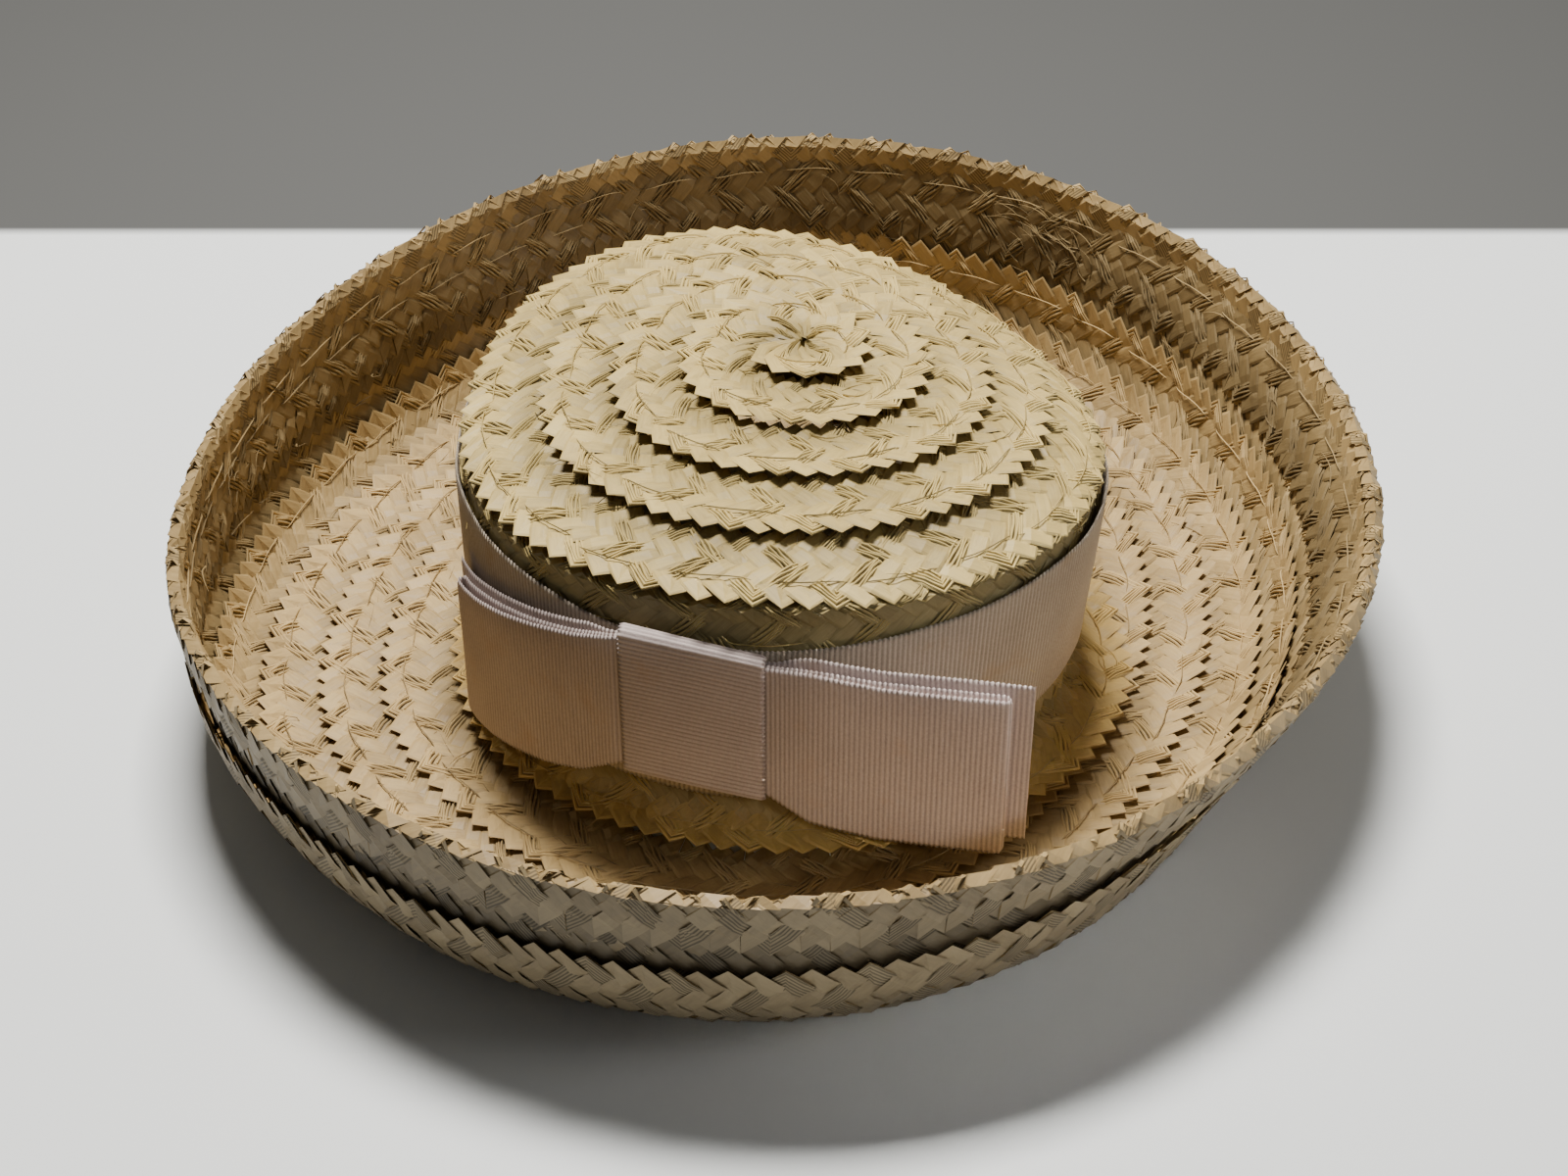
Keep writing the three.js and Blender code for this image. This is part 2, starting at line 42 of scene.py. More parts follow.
# Camera
# The hat is seen from its bow side, about 36 degrees down, from an arm's
# length away, with a short telephoto.
VIEW_ANGLE = math.radians(36.08)
VIEW_PLACE = (0.0005, -0.5686, 0.4237)
FOCAL_LENGTH = 56.25
FRAME_WIDTH = 36.0
camera_data = bpy.data.cameras.new("camera")
camera_data.lens = FOCAL_LENGTH
camera_data.sensor_width = FRAME_WIDTH
camera = bpy.data.objects.new("camera", camera_data)
camera.location = VIEW_PLACE
camera.rotation_euler = (math.pi / 2 - VIEW_ANGLE, 0.0, 0.0)
bpy.context.scene.collection.objects.link(camera)
bpy.context.scene.camera = camera


# Crown
# A single plait of seven straws is sewn in an oval spiral from the middle of
# the tip outward, each coil over the next one, then round the wall. The last
# coil flares out over the brim as a loose ledge.
CROWN_REACH = 96.0
EDGE_HEIGHT = 73.5
TIP_HEIGHT = 83.0
FOOT_HEIGHT = 4.0
LEDGE_REACH = 18.6
LEDGE_SHARE = 0.5
LEDGE_FLARE_ANGLE = 322.0
CROWN_CENTRE = np.array([-0.25, -1.67])
SPIRAL_SHIFT = np.array([6.0, 17.0])
# Columns by direction every 22.5 degrees from +X: crown, foot, rim, rise, lip
# and roll
OUTLINE = np.array([
    (0.880, 0.818, 0.942, 0.933, 0.970, 0.72), (0.845, 0.805, 0.965, 0.958, 0.935, 0.76),
    (0.865, 0.840, 1.005, 1.017, 0.930, 0.80), (0.925, 0.900, 1.035, 1.075, 0.950, 0.83),
    (1.000, 0.974, 1.040, 1.100, 0.985, 0.84), (1.040, 1.014, 1.000, 1.075, 1.000, 0.86),
    (0.990, 0.969, 0.955, 1.017, 1.000, 0.89), (0.917, 0.906, 0.930, 0.958, 1.000, 0.94),
    (0.896, 0.891, 0.930, 0.933, 1.000, 1.00), (0.938, 0.932, 0.968, 0.925, 1.000, 0.98),
    (0.984, 0.984, 0.991, 0.917, 1.000, 0.96), (1.005, 1.000, 1.009, 0.905, 1.000, 1.00),
    (1.005, 0.990, 1.017, 0.900, 1.000, 0.98), (1.016, 0.974, 0.997, 0.905, 1.000, 0.87),
    (1.010, 0.948, 0.960, 0.917, 1.000, 0.74), (0.955, 0.895, 0.942, 0.925, 0.995, 0.71),
])
# Height of the tip by share of its reach
TIP_SHARES = np.array([0.00, 0.28, 0.51, 0.75, 0.88, 0.96, 1.00])
TIP_HEIGHTS = np.array([1.000, 0.998, 0.990, 0.968, 0.940, 0.912, 0.886])
TIP_STEPS = 60
TIP_SMOOTHING = 30
# Heights where the wall's line is taken, then the ledge's line by share of its
# reach and height
WALL_LEVELS = (60.0, 45.0, 30.0, 16.0)
WALL_INSET = 0.5
FLARE_HEIGHT = 8.0
LEDGE_MARGIN = 1.0
LEDGE_LINE = ((0.04, 11.0), (0.14, 8.3), (0.32, 6.7), (0.58, 6.0), (1.0, 5.6))
# Every coil starts at the front
COIL_START = 270.0
COIL_STEPS = 150
# Points across a coil, and the share of a width where its run is measured
PLAIT_POINTS = 13
RUN_AT = 0.75

# The plait: each of its ends goes over and under the others, and folds back
PLAIT_ENDS = 7
TOOTH_PITCH = 6.4
STRAW_WIDTH = TOOTH_PITCH / math.sqrt(2.0)
PLAIT_WIDTH = PLAIT_ENDS / 2 * TOOTH_PITCH
TOOTH_TIP = STRAW_WIDTH / math.sqrt(2.0)
PLAIT_SPAN = PLAIT_WIDTH + 2 * TOOTH_TIP
STRAW_THICKNESS = 0.34
WEAVE_LIFT = 0.38
# Whether a straw lies under or over at each of its six crossings
WEAVE = (-1, 1, 1, -1, -1, 1)


def ring(values, degrees):
    """A value by direction, on a smooth curve through evenly spaced ones."""
    count = len(values)
    place = np.asarray(degrees, float) / 360.0 * count
    i = np.floor(place).astype(int)
    t = place - i
    a, b, c, d = (values[(i + k) % count] for k in (-1, 0, 1, 2))
    curve = 2 * b + (c - a) * t + (2 * a - 5 * b + 4 * c - d) * t * t
    return 0.5 * (curve + (3 * b - a - 3 * c + d) * t ** 3)


def crown_radius(degrees):
    return ring(OUTLINE[:, 0] * CROWN_REACH, degrees)


def foot_radius(degrees):
    return ring(OUTLINE[:, 1] * CROWN_REACH, degrees)


def wall_radius(degrees, z):
    t = (z - FOOT_HEIGHT) / (EDGE_HEIGHT - FOOT_HEIGHT)
    foot = foot_radius(degrees)
    return foot + (crown_radius(degrees) - foot) * t


def around_crown(radius, degrees, z):
    """Points at a radius and height, in one direction from the crown's centre."""
    turn = math.radians(degrees)
    x = CROWN_CENTRE[0] + radius * math.cos(turn)
    y = CROWN_CENTRE[1] + radius * math.sin(turn)
    return np.column_stack([x, y, z])


def crown_profile(degrees):
    """Points from the tip's middle out, down the wall and out on the ledge."""
    sink = ring((1 - OUTLINE[:, 4]) * EDGE_HEIGHT, degrees)
    shares = np.linspace(0, 1, TIP_STEPS + 1)
    fine = np.linspace(0, 1, TIP_STEPS * 10 + 1)
    rough = np.interp(fine, TIP_SHARES, TIP_HEIGHTS)
    near = np.ones(2 * TIP_SMOOTHING + 1)
    soft = np.convolve(np.pad(rough, TIP_SMOOTHING, mode="edge"), near / len(near), "valid")
    heights = np.interp(shares, fine, soft) * TIP_HEIGHT - sink * shares ** 2
    radius = crown_radius(degrees) * shares
    turn = math.radians(degrees)
    middle = CROWN_CENTRE + np.outer(1 - shares, SPIRAL_SHIFT)
    x, y = middle[:, 0] + radius * math.cos(turn), middle[:, 1] + radius * math.sin(turn)
    tip = np.column_stack([x, y, heights])
    top = EDGE_HEIGHT - sink
    wall = [(wall_radius(degrees, top) + 0.1, top - 1.0)]
    wall.append((wall_radius(degrees, top - 4) - WALL_INSET, top - 3.5))
    for z in WALL_LEVELS:
        wall.append((wall_radius(degrees, z) - WALL_INSET, z))
    foot = wall_radius(degrees, FLARE_HEIGHT)
    flare = 0.5 + 0.5 * math.cos(turn - math.radians(LEDGE_FLARE_ANGLE))
    reach = LEDGE_REACH * (LEDGE_SHARE + (1 - LEDGE_SHARE) * flare ** 3) + LEDGE_MARGIN
    for share, z in LEDGE_LINE:
        wall.append((foot + share * reach, z))
    wall = np.array(wall)
    return np.vstack([tip, around_crown(wall[:, 0], degrees, wall[:, 1])])


def arcs(points):
    """Length walked along a line at each of its points."""
    steps = np.linalg.norm(np.diff(points, axis=0), axis=1)
    return np.concatenate([[0.0], np.cumsum(steps)])


def coil_turn(turns, level):
    """Where a coil stands, held level at the front and stepped at the back."""
    whole = np.floor(turns)
    part = turns - whole
    return whole + part - level * np.sin(2 * np.pi * part) / (2 * np.pi)


def coil_stations(first, last, edge_arc, profile, clamp):
    """Coil surface points, station by station, edge to edge across the plait."""
    across = np.linspace(0, PLAIT_SPAN, PLAIT_POINTS)
    rows = []
    for turns in np.arange(first, last, 1 / COIL_STEPS):
        degrees = COIL_START + 360.0 * turns
        line = profile(degrees)
        run = arcs(line)
        edge = edge_arc(turns, run)
        places = np.maximum(edge - (PLAIT_SPAN - across), clamp)
        rows.append(np.column_stack([np.interp(places, run, line[:, k]) for k in range(3)]))
    return np.array(rows)


def guide_surface(name, stations, lifts, closed, shade=(1.0, 1.0)):
    """A bed that a plait or ribbon is laid on, with run and width as UV."""
    count, wide = stations.shape[:2]
    ahead = np.roll(stations, -1, axis=0) if closed else np.vstack([stations[1:], stations[-1:]])
    behind = np.roll(stations, 1, axis=0) if closed else np.vstack([stations[:1], stations[:-1]])
    normal = np.cross(np.gradient(stations, axis=1), ahead - behind)
    normal /= np.maximum(np.linalg.norm(normal, axis=2, keepdims=True), 1e-6)
    v = np.linspace(0.0, 1.0, wide)
    spread = []
    for values in (lifts, shade):
        values = np.atleast_2d(values)
        stops = np.linspace(0.0, 1.0, values.shape[1])
        rows = np.array([np.interp(v, stops, row) for row in values])
        spread.append(np.broadcast_to(rows, (count, wide)))
    points = stations + normal * spread[0][:, :, None]
    shades = spread[1]
    if closed:
        points, normal, shades = (np.concatenate([a, a[:1]]) for a in (points, normal, shades))
        count += 1
    outer = arcs(points[:, int(wide * RUN_AT)])
    starts = [i * wide + j for i in range(count - 1) for j in range(wide - 1)]
    faces = [(a, a + wide, a + wide + 1, a + 1) for a in starts]
    mesh = bpy.data.meshes.new(name)
    mesh.from_pydata((points * MM).reshape(-1, 3).tolist(), [], faces)
    uv = np.column_stack([np.repeat(outer / outer[-1], wide), np.tile(v, count)])
    corners = np.empty(len(mesh.loops), dtype=np.int32)
    mesh.loops.foreach_get("vertex_index", corners)
    layer = mesh.uv_layers.new(name="run")
    layer.data.foreach_set("uv", uv[corners].ravel().astype(np.float32))
    stored = mesh.attributes.new("outward", "FLOAT_VECTOR", "POINT")
    stored.data.foreach_set("vector", normal.reshape(-1, 3).ravel().astype(np.float32))
    stored = mesh.attributes.new("shade", "FLOAT", "POINT")
    stored.data.foreach_set("value", shades.ravel().astype(np.float32))
    return bpy.data.objects.new(name, mesh), float(outer[-1])


def straw_path(parts):
    """Middle line of a straw across the plait and back, with its height."""
    half = TOOTH_PITCH / 2
    heights = [0.0, *[h * WEAVE_LIFT for h in WEAVE], 0.0]
    stops = []
    for leg in (0, 1):
        for k in range(PLAIT_ENDS):
            for part in parts:
                walked = (k + part) * half
                t = walked if leg == 0 else PLAIT_WIDTH - walked
                h = heights[k] + (heights[k + 1] - heights[k]) * part
                side = (-1.0 if leg == 0 else 1.0, 1.0)
                if k == 0 and part == 0.0:
                    side = (0.0, 2.0)
                stops.append((leg * PLAIT_WIDTH + walked, t, h, side))
    stops.append((2 * PLAIT_WIDTH, 0.0, 0.0, (0.0, 2.0)))
    return stops


def strand_rows(stops, section, width, lane=0.0, rise=0.0, wander=0.0, phase=0.0):
    """Section rows from end to end of a strand, which wanders if it is a fibre."""
    rows = []
    for n, (s, t, h, side) in enumerate(stops):
        sway = wander * math.sin(n * 0.9 + phase)
        bob = wander * 0.6 * math.cos(n * 1.3 + phase)
        row = []
        for across, up in section:
            off = (lane + across * width + sway) / math.sqrt(2.0)
            x = s + side[0] * off
            y = t + TOOTH_TIP + side[1] * off
            row.append((x, y, h + rise + bob + up * STRAW_THICKNESS))
        rows.append(row)
    return rows


# Straw lengths that the grain's pattern runs for
GRAIN_RUN = 1.6


def strands_object(name, strands, fibrous):
    """One object from strands' rows, each flat 0.0, a core 0.5 or a fibre 1.0."""
    vertices, faces, uvs, kinds = [], [], [], []
    for rows, kind in zip(strands, fibrous):
        start, size = len(vertices), len(rows[0])
        kinds.extend([kind] * len(rows) * size)
        for row in rows:
            vertices.extend((x * MM, y * MM, z * MM) for x, y, z in row)
        for n in range(len(rows) - 1):
            near, far = (k / (len(rows) - 1) * GRAIN_RUN for k in (n, n + 1))
            for q in range(size):
                a = start + n * size + q
                b = start + n * size + (q + 1) % size
                faces.append((a, b, b + size, a + size))
                left, right = q / size, (q + 1) / size
                uvs.extend([(near, left), (near, right), (far, right), (far, left)])
        last = start + (len(rows) - 1) * size
        faces.append(tuple(start + q for q in reversed(range(size))))
        faces.append(tuple(last + q for q in range(size)))
        uvs.extend([(0.0, 0.5)] * 2 * size)
    mesh = bpy.data.meshes.new(name)
    mesh.from_pydata(vertices, [], faces)
    layer = mesh.uv_layers.new(name="straw_run")
    layer.data.foreach_set("uv", np.array(uvs, np.float32).ravel())
    stored = mesh.attributes.new("fibrous", "FLOAT", "POINT")
    stored.data.foreach_set("value", np.array(kinds, np.float32))
    return bpy.data.objects.new(name, mesh)


# Sections across a straw: a flat one, the core of a bundle and one of its fibres
FLAT_SECTION = ((-0.49, 0.0), (-0.38, 0.55), (0.38, 0.55), (0.49, 0.0), (0.57, -0.4), (-0.57, -0.4))
CORE_SECTION = ((-0.56, -0.6), (-0.46, -0.1), (0.46, -0.1), (0.56, -0.6))
FIBRE_SECTION = ((-0.5, -0.4), (-0.22, 0.6), (0.22, 0.6), (0.5, -0.4))
# Place across the straw, height and waviness phase of each fibre
FIBRES = (
    (-1.85, 0.12, 0.0), (-0.92, 0.40, 1.9), (0.02, 0.54, 3.4), (0.94, 0.42, 4.9), (1.84, 0.10, 6.1),
)
FIBRE_WIDTH = 0.80
FIBRE_WANDER = 0.28
CORE_RISE = -0.10
whole_path, fine_path = straw_path((0.0,)), straw_path((0.0, 0.5))
core_rows = strand_rows(whole_path, CORE_SECTION, STRAW_WIDTH, rise=CORE_RISE)
fibre_rows = [
    strand_rows(fine_path, FIBRE_SECTION, FIBRE_WIDTH, lane, rise, FIBRE_WANDER, phase)
    for lane, rise, phase in FIBRES
]
flat_straw = strands_object("flat_straw", [strand_rows(whole_path, FLAT_SECTION, STRAW_WIDTH)], [0.0])
fibre_bundle = strands_object("fibre_bundle", [core_rows, *fibre_rows], [0.5] + [1.0] * len(FIBRES))


def new_tree(name, inputs):
    tree = bpy.data.node_groups.new(name, "GeometryNodeTree")
    tree.interface.new_socket("Geometry", in_out="INPUT", socket_type="NodeSocketGeometry")
    for label, kind in inputs:
        tree.interface.new_socket(label, in_out="INPUT", socket_type="NodeSocket" + kind)
    tree.interface.new_socket("Geometry", in_out="OUTPUT", socket_type="NodeSocketGeometry")
    return tree


class Wiring:
    """Short calls for adding and linking the nodes of one tree."""

    def __init__(self, tree):
        self.tree = tree

    def add(self, kind, inputs=None, **settings):
        node = self.tree.nodes.new(kind)
        for key, value in settings.items():
            setattr(node, key, value)
        for key, value in (inputs or {}).items():
            if isinstance(value, bpy.types.NodeSocket):
                self.link(value, node, key)
            else:
                node.inputs[key].default_value = value
        return node

    def link(self, value, node, key):
        self.tree.links.new(value, node.inputs[key])

    def math(self, operation, a, b=0.0, c=0.0):
        return self.add("ShaderNodeMath", {0: a, 1: b, 2: c}, operation=operation).outputs[0]

    def times(self, a, b):
        return self.math("MULTIPLY", a, b)

    def times_plus(self, a, b, c):
        return self.math("MULTIPLY_ADD", a, b, c)

    def rest(self, share):
        return self.math("SUBTRACT", 1.0, share)

    def vector(self, operation, a, b=(0.0, 0.0, 0.0)):
        key = "Scale" if operation == "SCALE" else 1
        return self.add("ShaderNodeVectorMath", {0: a, key: b}, operation=operation).outputs[0]

    def attribute(self, name, kind):
        return self.add("GeometryNodeInputNamedAttribute", {"Name": name}, data_type=kind).outputs[0]

    def xyz(self, x=0.0, y=0.0, z=0.0):
        return self.add("ShaderNodeCombineXYZ", {0: x, 1: y, 2: z}).outputs[0]

    def parts(self, vector):
        return self.add("ShaderNodeSeparateXYZ", {0: vector}).outputs

    def kept(self, geometry, name, value, kind, domain="POINT"):
        """A value kept on a geometry as a named attribute."""
        return self.add("GeometryNodeStoreNamedAttribute", {
            "Geometry": geometry, "Name": name, "Value": value,
        }, data_type=kind, domain=domain).outputs[0]

    def clamped(self, value, margin):
        """A share held off both of its ends."""
        return self.math("MINIMUM", self.math("MAXIMUM", value, margin), 1.0 - margin)

    def noise(self, at, scale, detail, roughness=0.5):
        return self.add("ShaderNodeTexNoise", {
            "Vector": at, "Scale": scale, "Detail": detail, "Roughness": roughness,
        }).outputs

    def ranged(self, value, start, end, low=0.0, high=1.0):
        """A value's way from start to end, as a way from low to high."""
        return self.add("ShaderNodeMapRange", {
            "Value": value, "From Min": start, "From Max": end, "To Min": low, "To Max": high,
        }).outputs[0]

    def mixed(self, share, base, colour, blend="MIX"):
        return self.add("ShaderNodeMix", {
            0: share, 6: base, 7: (*colour, 1.0),
        }, data_type="RGBA", blend_type=blend).outputs[2]

    def ramp(self, value, *stops):
        """A colour ramp: its first stop, its last one, then those between."""
        node = self.add("ShaderNodeValToRGB", {0: value})
        elements = node.color_ramp.elements
        for k, (place, colour) in enumerate(stops):
            element = elements[k] if k < 2 else elements.new(place)
            element.position, element.color = place, (*colour, 1.0)
        return node.outputs[0]

    def laid_on(self, guide, u, v, lift):
        """Position of a point at run u and width v of a guide, lifted off it."""
        here = self.add("GeometryNodeInputPosition").outputs[0]
        place = self.sampled(guide, u, v, here, "FLOAT_VECTOR")
        facing = self.attribute("outward", "FLOAT_VECTOR")
        outward = self.sampled(guide, u, v, facing, "FLOAT_VECTOR")
        return self.vector("ADD", place, self.vector("SCALE", outward, lift))

    def sampled(self, guide, u, v, value, kind):
        """A guide's own value at run u and width v."""
        return self.add("GeometryNodeSampleUVSurface", {
            "Mesh": guide, "Value": value, "Sample UV": self.xyz(u, v),
            "Source UV Map": self.attribute("run", "FLOAT_VECTOR"),
        }, data_type=kind).outputs[0]


def plait_tree():
    """Straws set side by side in a line, then wrapped on a guide surface."""
    tree = new_tree("sewn_plait", (
        ("Flat straw", "Object"), ("Fibre bundle", "Object"), ("Run length", "Float"),
        ("Spacing", "Float"), ("Straws", "Int"), ("First straw", "Int"),
        ("Stretch", "Float"), ("Wraps", "Float"), ("Spin", "Float"), ("Drift", "Float"),
        ("Unevenness", "Float"), ("Seed", "Int"), ("Straw finish", "Material"),
    ))
    w = Wiring(tree)
    given = w.add("NodeGroupInput").outputs
    index = w.add("GeometryNodeInputIndex").outputs[0]
    number = w.math("ADD", index, given["First straw"])
    line = w.add("GeometryNodeMeshLine", {"Count": given["Straws"]}).outputs["Mesh"]
    drift = w.add("FunctionNodeRandomValue", {
        "Min": (-1.0, -1.0, 0.0), "Max": (1.0, 1.0, 0.0), "Seed": given["Seed"],
    }, data_type="FLOAT_VECTOR").outputs[0]
    spot = w.xyz(w.times(number, given["Spacing"]))
    spot = w.vector("ADD", spot, w.vector("SCALE", drift, given["Drift"]))
    line = w.add("GeometryNodeSetPosition", {"Geometry": line, "Position": spot}).outputs[0]
    lane = w.math("MODULO", number, float(PLAIT_ENDS))
    fibrous = w.math("MAXIMUM", w.math("COMPARE", lane, 2.0, 0.1), w.math("COMPARE", lane, 6.0, 0.1))
    plain = w.rest(fibrous)
    stretch = w.xyz(given["Stretch"], 1.0, 1.0)
    share = w.add("FunctionNodeRandomValue", {"Seed": given["Seed"]}).outputs[1]
    angle = w.times(share, given["Spin"])
    turn = w.xyz(z=angle)
    joined = w.add("GeometryNodeJoinGeometry")
    for piece, chosen in (("Flat straw", plain), ("Fibre bundle", fibrous)):
        info = w.add("GeometryNodeObjectInfo", {"Object": given[piece]}).outputs["Geometry"]
        layer = w.add("GeometryNodeInstanceOnPoints", {
            "Points": line, "Selection": chosen, "Instance": info, "Scale": stretch, "Rotation": turn,
        }).outputs[0]
        w.link(layer, joined, 0)
    tone = w.add("FunctionNodeRandomValue", {"Seed": given["Seed"]}).outputs[1]
    toned = w.kept(joined.outputs[0], "straw_tone", tone, "FLOAT", "INSTANCE")
    real = w.add("GeometryNodeRealizeInstances", {"Geometry": toned}).outputs[0]

    here = w.add("GeometryNodeInputPosition").outputs[0]
    own = w.times(w.attribute("straw_tone", "FLOAT"), 0.7)
    apart = w.vector("ADD", here, w.xyz(z=own))
    centred = w.vector("SUBTRACT", w.noise(apart, 90.0, 1.0)["Color"], (0.5, 0.5, 0.5))
    moved = w.vector("ADD", here, w.vector("SCALE", centred, given["Unevenness"]))
    parts = w.parts(moved)
    run = w.math("DIVIDE", parts[0], given["Run length"])
    wrapped = w.math("FRACT", run)
    inside = w.clamped(run, 0.00002)
    u = w.math("ADD", inside, w.times(w.math("SUBTRACT", wrapped, inside), given["Wraps"]))
    v = w.clamped(w.math("DIVIDE", parts[1], PLAIT_SPAN * MM), 0.0005)
    place = w.laid_on(given["Geometry"], u, v, parts[2])
    shade = w.sampled(given["Geometry"], u, v, w.attribute("shade", "FLOAT"), "FLOAT")
    shaded = w.kept(real, "row_shade", shade, "FLOAT")
    laid = w.add("GeometryNodeSetPosition", {"Geometry": shaded, "Position": place}).outputs[0]
    done = w.add("GeometryNodeSetMaterial", {"Geometry": laid, "Material": given["Straw finish"]})
    w.add("NodeGroupOutput", {0: done.outputs[0]})
    return tree


def made_by(tree, name, base, values):
    """Run a tree on a base object and keep the result as a plain mesh."""
    collection = bpy.context.scene.collection
    base = base.copy()
    collection.objects.link(base)
    modifier = base.modifiers.new("make", "NODES")
    modifier.node_group = tree
    ids = {item.name: item.identifier for item in tree.interface.items_tree if item.in_out == "INPUT"}
    for label, value in values.items():
        modifier[ids[label]] = value
    depsgraph = bpy.context.evaluated_depsgraph_get()
    depsgraph.update()
    made = base.evaluated_get(depsgraph)
    mesh = bpy.data.meshes.new_from_object(made, preserve_all_data_layers=True, depsgraph=depsgraph)
    mesh.name = name
    bpy.data.objects.remove(base)
    piece = bpy.data.objects.new(name, mesh)
    collection.objects.link(piece)
    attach(piece, "root")
    return piece


def new_finish(name, settings):
    """A material, the wiring of its nodes and its shader."""
    material = bpy.data.materials.new(name)
    material.use_nodes = True
    material.node_tree.nodes.clear()
    w = Wiring(material.node_tree)
    shader = w.add("ShaderNodeBsdfPrincipled", settings)
    w.add("ShaderNodeOutputMaterial", {0: shader.outputs[0]})
    return material, w, shader


def straw_finish(name, dark, middle, light, roughness, low_tint, outward_shade_tint):
    """Split straw: a satin skin with lengthwise grain, each straw its own tone, with painted shade."""
    material, w, shader = new_finish(name, {"Specular IOR Level": 0.32})
    tone = w.add("ShaderNodeAttribute", attribute_name="straw_tone").outputs["Fac"]
    fibrous = w.add("ShaderNodeAttribute", attribute_name="fibrous").outputs["Fac"]
    run = w.add("ShaderNodeUVMap", uv_map="straw_run").outputs[0]
    stretched = w.vector("MULTIPLY", run, (7.0, 22.0, 1.0))
    own = w.xyz(z=w.times(tone, 61.0))
    grain_at = w.vector("ADD", stretched, own)
    grain = w.noise(grain_at, 1.0, 4.0, 0.65)["Fac"]
    at = w.add("ShaderNodeTexCoord").outputs["Object"]
    patch = w.noise(at, 26.0, 3.0)["Fac"]
    blend = w.times_plus(tone, 0.20, w.times(grain, 0.46))
    blend = w.math("ADD", blend, w.times(w.math("SUBTRACT", patch, 0.5), 0.55))
    blend = w.times_plus(fibrous, 0.16, w.math("ADD", blend, 0.14))
    colour = w.ramp(blend, (0.10, dark), (0.92, light), (0.50, middle))
    height = w.parts(at)[2]
    tinted = w.mixed(w.ranged(height, 0.020, 0.008), colour, low_tint, "MULTIPLY")
    # Painted shade: straw that faces outward from the hat is darkened and cooled
    facing = w.add("ShaderNodeNewGeometry").outputs["Normal"]
    level = w.vector("NORMALIZE", w.vector("MULTIPLY", at, (1.0, 1.0, 0.0)))
    outer = w.add("ShaderNodeVectorMath", {0: facing, 1: level}, operation="DOT_PRODUCT").outputs[1]
    outward_shade = w.mixed(w.ranged(outer, 0.45, 0.85), tinted, outward_shade_tint, "MULTIPLY")
    # Painted shade: dark stripes between the fibres on a bundle's core
    core = w.math("COMPARE", fibrous, 0.5, 0.1)
    across = w.parts(run)[1]
    strand = w.math("SINE", w.times_plus(grain, 5.0, w.times(across, 150.0)))
    gap = w.times(core, w.times_plus(strand, -0.32, 0.38))
    depth = w.rest(gap)
    # Painted shade: row_shade darkens each row where the next one covers it, and brightens its teeth
    # as a painted highlight
    row = w.add("ShaderNodeAttribute", attribute_name="row_shade").outputs["Fac"]
    shaded = w.vector("SCALE", outward_shade, w.times(depth, row))
    w.link(shaded, shader, "Base Color")
    gloss = w.times_plus(grain, 0.30, roughness - 0.10)
    gloss = w.times_plus(fibrous, 0.20, gloss)
    w.link(gloss, shader, "Roughness")
    bump = w.add("ShaderNodeBump", {"Height": grain, "Strength": 0.35, "Distance": 0.0004}).outputs[0]
    w.link(bump, shader, "Normal")
    return material


crown_straw = straw_finish(
    "crown_straw", dark=(0.210, 0.150, 0.052), middle=(0.495, 0.365, 0.126),
    light=(0.740, 0.560, 0.204), roughness=0.46,
    low_tint=(1.0, 0.90, 0.82), outward_shade_tint=(0.58, 0.64, 0.86),
)

sewn_plait = plait_tree()
# Height of the plait over its bed from its covered edge to its free edge, in
# open rows and where the ribbon holds the wall's rows down
ROW_LIFTS = np.array([-1.6, -1.4, -0.9, -0.1, 0.9, 2.1])
HELD_LIFTS = np.array([-1.9, -1.7, -1.4, -1.1, -0.9, -0.7])
# Share of light colour across a row: painted shade darkens the part that the next row covers, and a
# painted highlight brightens the free edge's teeth
ROW_SHADES = np.array([0.60, 0.60, 0.62, 0.74, 0.90, 0.98, 1.0, 1.06])
ROW_UNEVENNESS = 1.4


def sewn_piece(name, bed, first, count, finish, seed, stretch=1.0, wraps=0.0):
    """One stretch of the plait, count straws long from the first."""
    guide, length = bed
    return made_by(sewn_plait, name, guide, {
        "Flat straw": flat_straw, "Fibre bundle": fibre_bundle, "Run length": length * MM,
        "Spacing": TOOTH_PITCH * stretch * MM, "Straws": count, "First straw": first,
        "Stretch": stretch, "Wraps": wraps, "Unevenness": ROW_UNEVENNESS * MM, "Seed": seed,
        "Straw finish": finish,
    })


TIP_COILS = 5
WALL_COILS = 4
TIP_LEVEL = 0.3
WALL_LEVEL = 0.85


def crown_edge(turns, run):
    """How far down the crown's line the free edge of a coil lies."""
    coil = coil_turn(turns, TIP_LEVEL if turns < TIP_COILS - 1 else WALL_LEVEL)
    tip_arc = run[TIP_STEPS]
    if coil <= TIP_COILS:
        share = max(0.0, 1 / TIP_COILS * coil + 0.008)
        return float(np.interp(min(share, 1.0), np.linspace(0, 1, TIP_STEPS + 1), run[:TIP_STEPS + 1]))
    end = run[-1] - LEDGE_MARGIN
    return min(tip_arc + (coil - TIP_COILS) * (end - tip_arc) / WALL_COILS, end)


# Sewing thread on the rows, and stray ends of fibre
STITCH_LENGTH = 21.0
STITCH_SPACING = 24.0
STITCH_PLACE = 20.5
STITCH_ARCH = 1.15
STITCH_STEPS = 8
STITCH_SKEW = 0.02
STITCH_DRIFT = 0.8
THREAD_SECTION = ((-0.16, 0.0), (0.0, 0.26), (0.16, 0.0), (0.0, -0.2))
STRAY_LENGTH = 13.0
STRAY_SPACING = 31.0
STRAY_SPIN = 6.28
STRAY_DRIFT = 9.0
THREAD_UNEVENNESS = 1.0


def thread_row(run, side, lift, width):
    return [(run, side + across * width, lift + up * width) for across, up in THREAD_SECTION]


